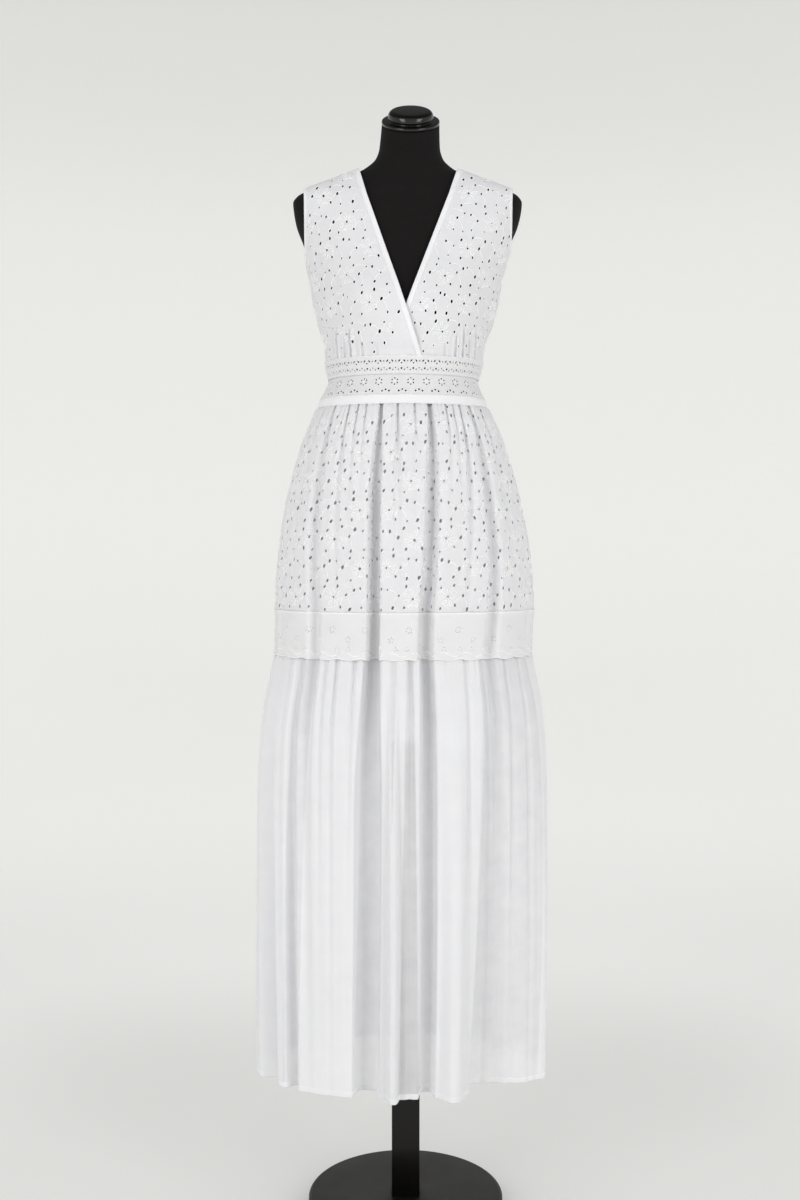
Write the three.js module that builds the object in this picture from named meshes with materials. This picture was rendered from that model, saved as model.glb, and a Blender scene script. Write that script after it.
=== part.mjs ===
import * as THREE from "three";

// Sizes are in millimetres and angles in degrees. +Z is up and the dress faces -Y.
// The origin is the centre of the underside of the stand's base.
// Around the body an angle runs from 0 at the viewer's left side, over 90 at the middle, to 180.

// Cloth and seams
const CLOTH = 1.2;
const TAPE = 1.0;
const SEAM_GAP = 0.4;
const HALF_SIDE_GAP = 0.5;
const TAPE_LIFT = 2;
const OVERLAP_LIFT = 4.2;

// Heights of the seams that run round the dress, from the hem up
const HEM_Z = 220;
const LINING_HEM_Z = 756;
const BORDER_LOW_Z = 882;
const LOWER_TIER_TOP_Z = 889;
const EYELET_TIER_LOW_Z = 953;
const LINING_TOP_Z = 1268;
const WAISTBAND_LOW_Z = 1272;
const SHEER_BAND_LOW_Z = 1287.5;
const LACE_TRIM_LOW_Z = 1318;
const BODICE_LOW_Z = 1347;

// Bodice edges
const NECK_POINT = { x: 79.2, z: 1655.5 };
const SHOULDER_TIP = { x: 165, z: 1623.5 };
const SHOULDER_MIDDLE = 4;
const BACK_NECK_Z = 1643;
const ARMHOLE_HALF_WIDTH = 163.5;
const NECK_BAND_WIDTH = 9;
const ARMHOLE_BAND_WIDTH = 5;
const SHOULDER_STRIP_WIDTH = 7;

// Eyelets cut through the cloth
const EYELET_HALF_WIDTH = 2.2;
const EYELET_HALF_HEIGHT = 3.3;
const EYELET_LEAN = 22;
const EYELET_SIDES = 5;
const EYELET_MARGIN = 2.8;
const EYELET_FIRST_CORNER = Math.PI / 4;

// Stand
const BASE_RADIUS = 154.5;
const BASE_HEIGHT = 24;
const BASE_FOOT_BEVEL = 2;
const BASE_EDGE_RADIUS = 7;
const BASE_EDGE_STEPS = 2;
const BASE_SEGMENTS = 28;
const BASE_GROOVE_DEPTH = 3;
const BASE_GROOVE_LOW_Z = 9;
const BASE_GROOVE_TOP_Z = 12;
const POST_WIDTH = 44;
const TORSO_SEGMENTS = 24;
const NECK_TOP_Z = 1729;
const NECK_SLANT_START_Z = 1668;
const NECK_SLANT = 33;
const CAP_SEGMENTS = 22;
const CAP_FLANGE_BEVEL = 1.5;
const CAP_FLANGE_RADIUS = 46.5;
const CAP_FLANGE_HEIGHT = 6;
const CAP_NECK_RADIUS = 32;
const CAP_DOME_RADIUS = 35;
const CAP_TOP_RADIUS = 26;
const CAP_DOME_HEIGHT = 15;
const CAP_MIDDLE_X = 8;
const CAP_DOME_CURVE = [
  { inset: 0, share: 0.33 },
  { inset: 1, share: 0.6 },
  { inset: 4, share: 0.87 },
];

// The limbless form, a row for each height
const TORSO = [
  { z: 900, halfWidth: 138, front: 80, back: 94, middle: 0 },
  { z: 907, halfWidth: 152, front: 89, back: 106, middle: 0 },
  { z: 930, halfWidth: 159, front: 94, back: 113, middle: 0 },
  { z: 1070, halfWidth: 161, front: 94, back: 115, middle: -2 },
  { z: 1140, halfWidth: 153, front: 92, back: 106, middle: -3 },
  { z: 1205, halfWidth: 136, front: 89, back: 92, middle: -4 },
  { z: 1260, halfWidth: 119, front: 87, back: 82, middle: -4 },
  { z: 1310, halfWidth: 110, front: 86, back: 77, middle: -3.5 },
  { z: 1350, halfWidth: 115, front: 92, back: 80, middle: -2.5 },
  { z: 1382, halfWidth: 125, front: 109, back: 84, middle: -1 },
  { z: 1415, halfWidth: 137, front: 120, back: 88, middle: 0 },
  { z: 1450, halfWidth: 145, front: 117, back: 92, middle: 0 },
  { z: 1490, halfWidth: 151, front: 106, back: 97, middle: 0.5 },
  { z: 1530, halfWidth: 163, front: 94, back: 101, middle: 1.5 },
  { z: 1565, halfWidth: 177, front: 84, back: 100, middle: 2.5 },
  { z: 1590, halfWidth: 182, front: 75, back: 96, middle: 3 },
  { z: 1602, halfWidth: 183, front: 69, back: 90, middle: 3 },
  { z: 1612, halfWidth: 177, front: 62, back: 82, middle: 3.5 },
  { z: 1620, halfWidth: 162, front: 57, back: 74, middle: 4 },
  { z: 1633, halfWidth: 127, front: 52, back: 65, middle: 4 },
  { z: 1645, halfWidth: 93, front: 49, back: 57, middle: 4.5 },
  { z: 1655, halfWidth: 72, front: 47, back: 52, middle: 5 },
  { z: 1672, halfWidth: 54, front: 45, back: 48, middle: 6 },
  { z: 1690, halfWidth: 48.5, front: 44, back: 46, middle: 6.5 },
  { z: NECK_TOP_Z, halfWidth: 46, front: 44, back: 44, middle: 8 },
];

// The close part of the dress, from the waistband to the shoulders
const BODICE = [
  { z: 1271, halfWidth: 135, front: 103, back: 95, middle: -5 },
  { z: 1288, halfWidth: 131, front: 101, back: 92, middle: -5 },
  { z: 1303, halfWidth: 123.5, front: 98.5, back: 88, middle: -4.5 },
  { z: 1318, halfWidth: 118.5, front: 97, back: 86, middle: -3.8 },
  { z: 1333, halfWidth: 122, front: 100, back: 88, middle: -3 },
  { z: 1348, halfWidth: 125, front: 104, back: 90, middle: -2.5 },
  { z: 1373, halfWidth: 128, front: 114, back: 92, middle: -1.5 },
  { z: 1405, halfWidth: 139, front: 124.5, back: 95, middle: -0.5 },
  { z: 1437, halfWidth: 147.5, front: 124, back: 98, middle: 0 },
  { z: 1480, halfWidth: 155, front: 114, back: 103, middle: 0.5 },
  { z: 1512, halfWidth: 163, front: 104.5, back: 106, middle: 1 },
  { z: 1545, halfWidth: 174.5, front: 95, back: 107, middle: 2 },
  { z: 1572, halfWidth: 182, front: 87, back: 105, middle: 3 },
  { z: 1594, halfWidth: 188, front: 79, back: 101, middle: 3 },
  { z: 1606, halfWidth: 188.5, front: 73.5, back: 95, middle: 3 },
  { z: 1616, halfWidth: 182.5, front: 66.5, back: 87, middle: 3.5 },
  { z: 1624, halfWidth: 166, front: 62, back: 79, middle: 4 },
  { z: 1637, halfWidth: 131, front: 57, back: 70, middle: 4 },
  { z: 1649, halfWidth: 97, front: 54, back: 62, middle: 4 },
  { z: 1657, halfWidth: 75.5, front: 52, back: 57, middle: 4 },
  { z: 1668, halfWidth: 62, front: 51, back: 54, middle: 4 },
];

// The skirt's even outline, before its folds
const SKIRT = [
  { z: 218, halfWidth: 228.5, front: 130, back: 148, middle: -9 },
  { z: 291, halfWidth: 230, front: 131, back: 149, middle: -8 },
  { z: 451, halfWidth: 232, front: 133, back: 151, middle: -6 },
  { z: 643, halfWidth: 231.5, front: 136, back: 152, middle: -5 },
  { z: 749, halfWidth: 227, front: 138, back: 151, middle: -4.5 },
  { z: 803, halfWidth: 221.5, front: 139, back: 149, middle: -4 },
  { z: 856, halfWidth: 211, front: 140, back: 146, middle: -4 },
  { z: 892, halfWidth: 205.5, front: 141, back: 147, middle: -4 },
  { z: 957, halfWidth: 206.5, front: 143, back: 147, middle: -2 },
  { z: 1011, halfWidth: 204, front: 143, back: 145, middle: -2 },
  { z: 1064, halfWidth: 198, front: 141, back: 142, middle: -2.5 },
  { z: 1117, halfWidth: 189, front: 136, back: 137, middle: -3.5 },
  { z: 1171, halfWidth: 176, front: 128, back: 129, middle: -4 },
  { z: 1224, halfWidth: 159.5, front: 117, back: 116, middle: -4.2 },
  { z: 1251, halfWidth: 148, front: 110, back: 107, middle: -4.6 },
  { z: 1273, halfWidth: 138, front: 104, back: 99, middle: -5 },
];

// The short skirt lining, whose hem shows through the sheer tier
const LINING = [
  { z: LINING_HEM_Z, halfWidth: 176, front: 105, back: 122, middle: -3 },
  { z: 900, halfWidth: 172, front: 103, back: 121, middle: -3 },
  { z: 1070, halfWidth: 168, front: 101, back: 120, middle: -3 },
  { z: 1140, halfWidth: 160, front: 100, back: 113, middle: -4 },
  { z: 1205, halfWidth: 143, front: 97, back: 99, middle: -4 },
  { z: LINING_TOP_Z, halfWidth: 124, front: 92, back: 87, middle: -4.5 },
];

// Folds, a row each: the angle, depth and half width at the top and at the low edge.
// depthMiddle is the depth half way down, and a fold with negative depths stands out.
// One whose right flank is wider than its left has rightHalfWidth too.
const EYELET_TIER_FRONT_FOLDS = [
  { top: 17, low: 20, depthTop: 5, depthMiddle: 5, depthLow: 3, halfWidth: 4 },
  { top: 29, low: 31, depthTop: 5, depthMiddle: 3, depthLow: 0, halfWidth: 3 },
  { top: 41, low: 48.5, depthTop: 7, depthMiddle: 13, depthLow: 12, halfWidth: 4.5 },
  { top: 54, low: 60, depthTop: 6, depthMiddle: 3, depthLow: 0, halfWidth: 2.6 },
  { top: 60.5, low: 66, depthTop: 4, depthMiddle: 0, depthLow: 0, halfWidth: 2.2 },
  { top: 66.5, low: 71, depthTop: 4, depthMiddle: 0, depthLow: 0, halfWidth: 2 },
  { top: 76.4, low: 77, depthTop: 9, depthMiddle: 24, depthLow: 25, halfWidth: 4.2 },
  { top: 87, low: 87, depthTop: 6, depthMiddle: 3, depthLow: 0, halfWidth: 2.6 },
  { top: 97.8, low: 94, depthTop: 5, depthMiddle: 0, depthLow: 0, halfWidth: 2.4 },
  { top: 108, low: 100, depthTop: 10, depthMiddle: 20, depthLow: 22, halfWidth: 4.2 },
  { top: 118.5, low: 108, depthTop: 4, depthMiddle: 0, depthLow: 0, halfWidth: 2.4 },
  { top: 123.8, low: 112.5, depthTop: 4, depthMiddle: 0, depthLow: 0, halfWidth: 2.2 },
  { top: 129, low: 117.5, depthTop: 7, depthMiddle: 7, depthLow: 2, halfWidth: 2.8 },
  { top: 138, low: 131, depthTop: 7, depthMiddle: 17, depthLow: 15, halfWidth: 3.8 },
  { top: 150, low: 146, depthTop: 5, depthMiddle: 3, depthLow: 0, halfWidth: 3 },
  { top: 163, low: 160, depthTop: 5, depthMiddle: 5, depthLow: 3, halfWidth: 4 },
];

const EYELET_TIER_BACK_FOLDS = [
  { top: 16, low: 20, depthTop: 5, depthMiddle: 5, depthLow: 3, halfWidth: 4 },
  { top: 28, low: 32, depthTop: 5, depthMiddle: 3, depthLow: 0, halfWidth: 3 },
  { top: 40, low: 45, depthTop: 7, depthMiddle: 14, depthLow: 14, halfWidth: 4.4 },
  { top: 52, low: 56, depthTop: 5, depthMiddle: 2, depthLow: 0, halfWidth: 2.8 },
  { top: 64, low: 67, depthTop: 7, depthMiddle: 12, depthLow: 11, halfWidth: 3.8 },
  { top: 76, low: 78, depthTop: 5, depthMiddle: 2, depthLow: 0, halfWidth: 2.8 },
  { top: 90, low: 91, depthTop: 9, depthMiddle: 18, depthLow: 18, halfWidth: 4.4 },
  { top: 103, low: 102, depthTop: 5, depthMiddle: 2, depthLow: 0, halfWidth: 2.8 },
  { top: 115, low: 113, depthTop: 7, depthMiddle: 13, depthLow: 13, halfWidth: 4 },
  { top: 127, low: 124, depthTop: 5, depthMiddle: 2, depthLow: 0, halfWidth: 2.8 },
  { top: 140, low: 136, depthTop: 7, depthMiddle: 15, depthLow: 14, halfWidth: 4.4 },
  { top: 152, low: 148, depthTop: 5, depthMiddle: 3, depthLow: 0, halfWidth: 3 },
  { top: 164, low: 160, depthTop: 5, depthMiddle: 5, depthLow: 3, halfWidth: 4 },
];

const BORDER_FRONT_FOLDS = [
  { top: 20, low: 21, depthTop: 3, depthMiddle: 4, depthLow: 5, halfWidth: 4 },
  { top: 48.5, low: 48.5, depthTop: 12, depthMiddle: 12, depthLow: 12, halfWidth: 4.5 },
  { top: 77, low: 77, depthTop: 25, depthMiddle: 26, depthLow: 26, halfWidth: 4.2 },
  { top: 100, low: 100.4, depthTop: 22, depthMiddle: 22, depthLow: 22, halfWidth: 4.2 },
  { top: 131, low: 130, depthTop: 15, depthMiddle: 14, depthLow: 13, halfWidth: 3.8 },
  { top: 160, low: 160, depthTop: 3, depthMiddle: 4, depthLow: 5, halfWidth: 4 },
];

const BORDER_BACK_FOLDS = [
  { top: 20, low: 21, depthTop: 3, depthMiddle: 4, depthLow: 5, halfWidth: 4 },
  { top: 45, low: 45, depthTop: 14, depthMiddle: 14, depthLow: 14, halfWidth: 4.4 },
  { top: 67, low: 67, depthTop: 11, depthMiddle: 12, depthLow: 12, halfWidth: 3.8 },
  { top: 91, low: 91, depthTop: 18, depthMiddle: 18, depthLow: 18, halfWidth: 4.4 },
  { top: 113, low: 113, depthTop: 13, depthMiddle: 13, depthLow: 13, halfWidth: 4 },
  { top: 136, low: 136, depthTop: 14, depthMiddle: 14, depthLow: 14, halfWidth: 4.4 },
  { top: 160, low: 160, depthTop: 3, depthMiddle: 4, depthLow: 5, halfWidth: 4 },
];

const LOWER_TIER_FRONT_FOLDS = [
  { top: 10, low: 9, depthTop: 3, depthMiddle: 1, depthLow: 0, halfWidth: 2.4 },
  { top: 21, low: 25, depthTop: 6, depthMiddle: 20, depthLow: 26, halfWidth: 9 },
  { top: 33, low: 36, depthTop: 4, depthMiddle: 4, depthLow: 4, halfWidth: 2.2 },
  { top: 39, low: 42, depthTop: 5, depthMiddle: 14, depthLow: 18, halfWidth: 3.2 },
  { top: 48.5, low: 51, depthTop: 12, depthMiddle: 5, depthLow: 2, halfWidth: 3.4 },
  { top: 55, low: 57, depthTop: 4, depthMiddle: 0, depthLow: 0, halfWidth: 2 },
  { top: 60.5, low: 62, depthTop: 5, depthMiddle: 4, depthLow: 3, halfWidth: 2.2 },
  { top: 69, low: 68.5, depthTop: 5, depthMiddle: 4, depthLow: 2, halfWidth: 2.2 },
  { top: 77, low: 77.2, depthTop: 26, depthMiddle: 36, depthLow: 44, halfWidth: 5.4 },
  { top: 86, low: 86, depthTop: 0, depthMiddle: -14, depthLow: -19, halfWidth: 3 },
  { top: 93.6, low: 94, depthTop: 5, depthMiddle: 3, depthLow: 2, halfWidth: 2.6 },
  { top: 100.4, low: 101, depthTop: 22, depthMiddle: 24, depthLow: 30, halfWidth: 3.6 },
  { top: 109, low: 110, depthTop: 0, depthMiddle: -14, depthLow: -24, halfWidth: 5 },
  {
    top: 119, low: 119.5, depthTop: 3, depthMiddle: 24, depthLow: 44, halfWidth: 6,
    rightHalfWidth: 36,
  },
  { top: 124.5, low: 127, depthTop: 4, depthMiddle: 3, depthLow: 2, halfWidth: 2.4 },
  { top: 130.5, low: 134, depthTop: 13, depthMiddle: 4, depthLow: 2, halfWidth: 3 },
  { top: 139, low: 142, depthTop: 5, depthMiddle: 4, depthLow: 4, halfWidth: 2.6 },
  { top: 149, low: 152, depthTop: 5, depthMiddle: 4, depthLow: 4, halfWidth: 2.6 },
  { top: 161, low: 163, depthTop: 3, depthMiddle: -5, depthLow: -10, halfWidth: 7 },
  { top: 170, low: 171, depthTop: 3, depthMiddle: 1, depthLow: 0, halfWidth: 2.4 },
];

const LOWER_TIER_BACK_FOLDS = [
  { top: 10, low: 10, depthTop: 3, depthMiddle: 1, depthLow: 0, halfWidth: 2.4 },
  { top: 20, low: 21, depthTop: 5, depthMiddle: 8, depthLow: 9, halfWidth: 3.6 },
  { top: 30, low: 31, depthTop: 4, depthMiddle: 2, depthLow: 2, halfWidth: 2.6 },
  { top: 37, low: 37.5, depthTop: 4, depthMiddle: 3, depthLow: 3, halfWidth: 2.4 },
  { top: 45, low: 45, depthTop: 14, depthMiddle: 20, depthLow: 24, halfWidth: 4.4 },
  { top: 54, low: 54, depthTop: 4, depthMiddle: -8, depthLow: -12, halfWidth: 3.4 },
  { top: 67, low: 66.5, depthTop: 12, depthMiddle: 17, depthLow: 19, halfWidth: 3.8 },
  { top: 79, low: 78, depthTop: 5, depthMiddle: -7, depthLow: -12, halfWidth: 3.4 },
  { top: 91, low: 91, depthTop: 18, depthMiddle: 26, depthLow: 32, halfWidth: 4.6 },
  { top: 102, low: 103, depthTop: 5, depthMiddle: -7, depthLow: -12, halfWidth: 3.4 },
  { top: 113, low: 113.5, depthTop: 13, depthMiddle: 18, depthLow: 21, halfWidth: 4 },
  { top: 124.5, low: 125, depthTop: 5, depthMiddle: -8, depthLow: -12, halfWidth: 3.4 },
  { top: 136, low: 136, depthTop: 14, depthMiddle: 20, depthLow: 24, halfWidth: 4.4 },
  { top: 146, low: 146, depthTop: 4, depthMiddle: 3, depthLow: 3, halfWidth: 2.6 },
  { top: 156, low: 155, depthTop: 5, depthMiddle: 8, depthLow: 9, halfWidth: 3.6 },
  { top: 168, low: 168, depthTop: 3, depthMiddle: 1, depthLow: 0, halfWidth: 2.6 },
];

// Tucks that gather the bodice under the bust, by share of the panel's width
const BODICE_TUCKS = [
  { at: 0.47, depth: 2.6, halfWidth: 0.045 },
  { at: 0.56, depth: 3, halfWidth: 0.045 },
  { at: 0.65, depth: 2.6, halfWidth: 0.045 },
];
const TUCK_START = 0.72;

// The right front is lifted over the left where they lap: shares of width and of height
const LAP_ACROSS = { full: 0.3, none: 0.6 };
const LAP_DOWN = { none: 0.5, full: 0.72 };

const toRadians = THREE.MathUtils.degToRad;
const { lerp, clamp, smoothstep } = THREE.MathUtils;

// A smooth curve through one column of a table of heights that never overshoots its rows.
function columnCurve(table, key) {
  const z = table.map((row) => row.z);
  const value = table.map((row) => row[key]);
  const step = z.slice(1).map((high, i) => (value[i + 1] - value[i]) / (high - z[i]));
  const slope = value.map((_, i) => {
    const before = step[Math.max(i - 1, 0)];
    const after = step[Math.min(i, step.length - 1)];
    return before * after <= 0 ? 0 : (2 * before * after) / (before + after);
  });
  return (height) => {
    const h = clamp(height, z[0], z[z.length - 1]);
    const i = clamp(z.findIndex((high) => high >= h) - 1, 0, z.length - 2);
    const span = z[i + 1] - z[i];
    const t = (h - z[i]) / span;
    const rise = value[i + 1] - value[i];
    const bendLow = slope[i] * span - rise;
    const bendHigh = rise - slope[i + 1] * span;
    return value[i] + rise * t + t * (1 - t) * (bendLow * (1 - t) + bendHigh * t);
  };
}

// The sections of a table as curves of height.
function sections(table) {
  const curve = {};
  for (const key of ["halfWidth", "front", "back", "middle"]) {
    curve[key] = columnCurve(table, key);
  }
  return curve;
}

const torso = sections(TORSO);
const bodice = sections(BODICE);
const skirt = sections(SKIRT);
const lining = sections(LINING);

// A point on an oval section. side is "front" or "back".
function ovalPoint(shape, side, angle, z) {
  const around = toRadians(angle);
  const depth = side === "front" ? -shape.front(z) : shape.back(z);
  return new THREE.Vector3(
    shape.middle(z) - shape.halfWidth(z) * Math.cos(around),
    depth * Math.sin(around),
    z,
  );
}

// A surface is a function of angle and height. This gives its point and its outward normal.
function station(surface, side, angle, z) {
  const dAngle = 0.05;
  const dz = 0.05;
  const across = surface(angle + dAngle, z).sub(surface(angle - dAngle, z));
  const up = surface(angle, z + dz).sub(surface(angle, z - dz));
  const normal = new THREE.Vector3().crossVectors(across, up).normalize();
  if (side === "back") {
    normal.negate();
  }
  return { point: surface(angle, z), normal };
}

// A fold's width to the right of its middle.
function rightWidth(fold) {
  return fold.rightHalfWidth ?? fold.halfWidth;
}

// How far one fold goes in at an angle, t running from 0 at the top to 1 at the low edge.
function foldDepth(fold, angle, t) {
  const fromMiddle = angle - lerp(fold.top, fold.low, t);
  const away = Math.abs(fromMiddle) / (fromMiddle > 0 ? rightWidth(fold) : fold.halfWidth);
  if (away >= 1) {
    return 0;
  }
  const upper = lerp(fold.depthTop, fold.depthMiddle, Math.min(t * 2, 1));
  const depth = t < 0.5 ? upper : lerp(fold.depthMiddle, fold.depthLow, t * 2 - 1);
  return depth * (1 - away * away) ** 2;
}

// The skirt's outline with one tier's folds pressed into it.
function foldedSurface(side, folds, topZ, lowZ) {
  return (angle, z) => {
    const point = ovalPoint(skirt, side, angle, z);
    const t = clamp((topZ - z) / (topZ - lowZ), 0, 1);
    const depth = folds.reduce((sum, fold) => sum + foldDepth(fold, angle, t), 0);
    const around = toRadians(angle);
    const reach = side === "front" ? skirt.front(z) : skirt.back(z);
    const outward = new THREE.Vector3(
      -Math.cos(around) * reach,
      (side === "front" ? -1 : 1) * Math.sin(around) * skirt.halfWidth(z),
      0,
    ).normalize();
    return point.addScaledVector(outward, -depth);
  };
}

// The lines down a tier: three on each fold, and more wherever the next is too far away.
const SHOULDER_SHARE = 0.85;
const WIDEST_STEP = 10;
const NARROWEST_STEP = 0.9;
function foldLines(folds, endAngle) {
  const lines = [{ top: endAngle, low: endAngle }];
  for (const fold of folds) {
    const moves = [-SHOULDER_SHARE * fold.halfWidth, 0, SHOULDER_SHARE * rightWidth(fold)];
    for (const move of moves) {
      lines.push({ top: fold.top + move, low: fold.low + move });
    }
  }
  lines.push({ top: 180 - endAngle, low: 180 - endAngle });
  lines.sort((a, b) => a.top - b.top);
  const spaced = [lines[0]];
  for (const line of lines.slice(1)) {
    const last = spaced[spaced.length - 1];
    const step = Math.min(line.top - last.top, line.low - last.low);
    if (step < NARROWEST_STEP) {
      continue;
    }
    const parts = Math.ceil((line.top - last.top) / WIDEST_STEP);
    for (let i = 1; i < parts; i += 1) {
      spaced.push({
        top: lerp(last.top, line.top, i / parts),
        low: lerp(last.low, line.low, i / parts),
      });
    }
    spaced.push(line);
  }
  return spaced;
}

// A triangle list round a hole: outer and inner are closed loops of vertex numbers.
function bridgeLoops(outer, inner, innerTurn, triangles) {
  let i = 0;
  let j = 0;
  while (i < outer.length || j < inner.length) {
    const outerNext = (i + 1) / outer.length;
    const innerNext = (j + 1) / inner.length;
    const a = outer[i % outer.length];
    const b = inner[(j + innerTurn) % inner.length];
    if (j >= inner.length || (i < outer.length && outerNext <= innerNext)) {
      triangles.push([a, outer[(i + 1) % outer.length], b]);
      i += 1;
    } else {
      triangles.push([a, inner[(j + 1 + innerTurn) % inner.length], b]);
      j += 1;
    }
  }
}

// A wall of cloth on a grid of stations, its middle lifted off them, with eyelets cut through.
// rows[r][c] is a station. isLoop joins the last row to the first.
function clothWall(rows, { thickness = CLOTH, lift = 0, eyelet = null, isLoop = false }) {
  const columnCount = rows[0].length;
  const positions = [];
  const triangles = [];
  const addPoint = (point) => positions.push(point) - 1;
  const layers = [lift + thickness / 2, lift - thickness / 2].map((height) =>
    rows.map((row) =>
      row.map(({ point, normal }) => addPoint(point.clone().addScaledVector(normal, height))),
    ),
  );
  const [outside, inside] = layers;
  const cellCount = isLoop ? rows.length : rows.length - 1;
  const corners = (layer, r, c) => {
    const next = (r + 1) % rows.length;
    return [layer[r][c], layer[next][c], layer[next][c + 1], layer[r][c + 1]];
  };
  for (let r = 0; r < cellCount; r += 1) {
    for (let c = 0; c < columnCount - 1; c += 1) {
      const outer = corners(outside, r, c);
      const inner = corners(inside, r, c);
      const hole = eyelet ? eyelet(outer.map((n) => positions[n]), r, c) : null;
      if (!hole) {
        triangles.push([outer[0], outer[1], outer[2]], [outer[0], outer[2], outer[3]]);
        triangles.push([inner[0], inner[2], inner[1]], [inner[0], inner[3], inner[2]]);
        continue;
      }
      const rings = [outer, inner].map((quad) => {
        const [a, b, d, e] = quad.map((n) => positions[n]);
        return hole.map(([across, down]) =>
          addPoint(
            a.clone().lerp(e, across).lerp(b.clone().lerp(d, across), down),
          ),
        );
      });
      const face = [];
      bridgeLoops(outer, rings[0], 0, face);
      triangles.push(...face);
      const back = [];
      bridgeLoops(inner, rings[1], 0, back);
      triangles.push(...back.map(([a, b, d]) => [a, d, b]));
      rings[0].forEach((front, i) => {
        const next = (i + 1) % rings[0].length;
        triangles.push([rings[0][next], rings[1][i], front]);
        triangles.push([rings[0][next], rings[1][next], rings[1][i]]);
      });
    }
  }
  const edge = (a, b) => {
    triangles.push([outside[b[0]][b[1]], outside[a[0]][a[1]], inside[a[0]][a[1]]]);
    triangles.push([outside[b[0]][b[1]], inside[a[0]][a[1]], inside[b[0]][b[1]]]);
  };
  for (let r = 0; r < cellCount; r += 1) {
    const next = (r + 1) % rows.length;
    edge([r, 0], [next, 0]);
    edge([next, columnCount - 1], [r, columnCount - 1]);
  }
  if (!isLoop) {
    for (let c = 0; c < columnCount - 1; c += 1) {
      edge([0, c + 1], [0, c]);
      edge([rows.length - 1, c], [rows.length - 1, c + 1]);
    }
  }
  return closedGeometry(positions, triangles);
}

// A geometry from points and triangles, turned so that its faces look out.
function closedGeometry(positions, triangles) {
  let volume = 0;
  for (const [a, b, c] of triangles) {
    const normal = new THREE.Vector3().crossVectors(positions[b], positions[c]);
    volume += positions[a].dot(normal);
  }
  const faces = volume < 0 ? triangles.map(([a, b, c]) => [a, c, b]) : triangles;
  const geometry = new THREE.BufferGeometry();
  geometry.setAttribute(
    "position",
    new THREE.Float32BufferAttribute(positions.flatMap((p) => [p.x, p.y, p.z]), 3),
  );
  geometry.setIndex(faces.flat());
  geometry.computeVertexNormals();
  return geometry;
}

// The eyelet that fits in a cell, as shares of its width and height, or nothing.
// wanted says which cells of the repeat have one.
function eyeletIn(wanted) {
  return (corner, row, column) => {
    if (!wanted(row, column)) {
      return null;
    }
    const [a, b, d, e] = corner;
    const lean = toRadians(EYELET_LEAN);
    const width = (a.distanceTo(e) + b.distanceTo(d)) / 2;
    const height = (a.distanceTo(b) + e.distanceTo(d)) / 2;
    const narrow = Math.min(a.distanceTo(e), b.distanceTo(d));
    const reach = Math.hypot(EYELET_HALF_WIDTH, EYELET_HALF_HEIGHT * Math.sin(lean));
    const leastWidth = 2 * (reach + EYELET_MARGIN);
    const leastHeight = 2 * (EYELET_HALF_HEIGHT + EYELET_MARGIN);
    if (narrow < leastWidth || height < leastHeight) {
      return null;
    }
    const loop = [];
    for (let i = 0; i < EYELET_SIDES; i += 1) {
      const turn = (2 * Math.PI * (i + 0.5)) / EYELET_SIDES + EYELET_FIRST_CORNER;
      const x = -EYELET_HALF_WIDTH * Math.sin(turn);
      const y = -EYELET_HALF_HEIGHT * Math.cos(turn);
      const across = x * Math.cos(lean) - y * Math.sin(lean);
      const down = x * Math.sin(lean) + y * Math.cos(lean);
      loop.push([0.5 + across / width, 0.5 + down / height]);
    }
    return loop;
  };
}

const part = new THREE.Group();
part.name = "maxi_dress_on_form";

const FINISH = {
  eyeletCloth: { color: 0xe8e8ea, roughness: 0.9, metalness: 0 },
  plainCloth: { color: 0xeeeeef, roughness: 0.9, metalness: 0 },
  sheerCloth: { color: 0xe5e5e7, roughness: 0.85, metalness: 0 },
  lace: { color: 0xf2f2f3, roughness: 0.95, metalness: 0 },
  lining: { color: 0xe0e0e2, roughness: 0.9, metalness: 0 },
  jersey: { color: 0x191717, roughness: 0.95, metalness: 0 },
  lacquer: { color: 0x0c0c0d, roughness: 0.15, metalness: 0 },
  stand: { color: 0x1d1b19, roughness: 0.5, metalness: 0 },
};

function addNode(name, geometry, finish) {
  const mesh = new THREE.Mesh(geometry, new THREE.MeshStandardMaterial(FINISH[finish]));
  mesh.name = name;
  part.add(mesh);
  return mesh;
}

// Stand: base, post, form and neck cap
function makeBase() {
  const profile = [
    [0, 0],
    [BASE_RADIUS - BASE_FOOT_BEVEL, 0],
    [BASE_RADIUS, BASE_FOOT_BEVEL],
    [BASE_RADIUS, BASE_GROOVE_LOW_Z],
    [BASE_RADIUS - BASE_GROOVE_DEPTH, BASE_GROOVE_LOW_Z],
    [BASE_RADIUS - BASE_GROOVE_DEPTH, BASE_GROOVE_TOP_Z],
  ];
  for (let i = 0; i <= BASE_EDGE_STEPS; i += 1) {
    const turn = (Math.PI / 2) * (i / BASE_EDGE_STEPS);
    profile.push([
      BASE_RADIUS - BASE_EDGE_RADIUS + BASE_EDGE_RADIUS * Math.cos(turn),
      BASE_HEIGHT - BASE_EDGE_RADIUS + BASE_EDGE_RADIUS * Math.sin(turn),
    ]);
  }
  profile.push([0, BASE_HEIGHT]);
  return turned(profile, BASE_SEGMENTS);
}

// A turned solid on +Z from a closed profile of radius and height.
function turned(profile, segments) {
  const points = profile.map(([radius, height]) => new THREE.Vector2(radius, height));
  points.push(points[0].clone());
  return new THREE.LatheGeometry(points, segments).rotateX(Math.PI / 2);
}

function makePost() {
  const length = TORSO[0].z - BASE_HEIGHT - 2 * SEAM_GAP;
  const post = new THREE.BoxGeometry(POST_WIDTH, POST_WIDTH, length);
  return post.translate(0, 0, BASE_HEIGHT + SEAM_GAP + length / 2);
}

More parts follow.
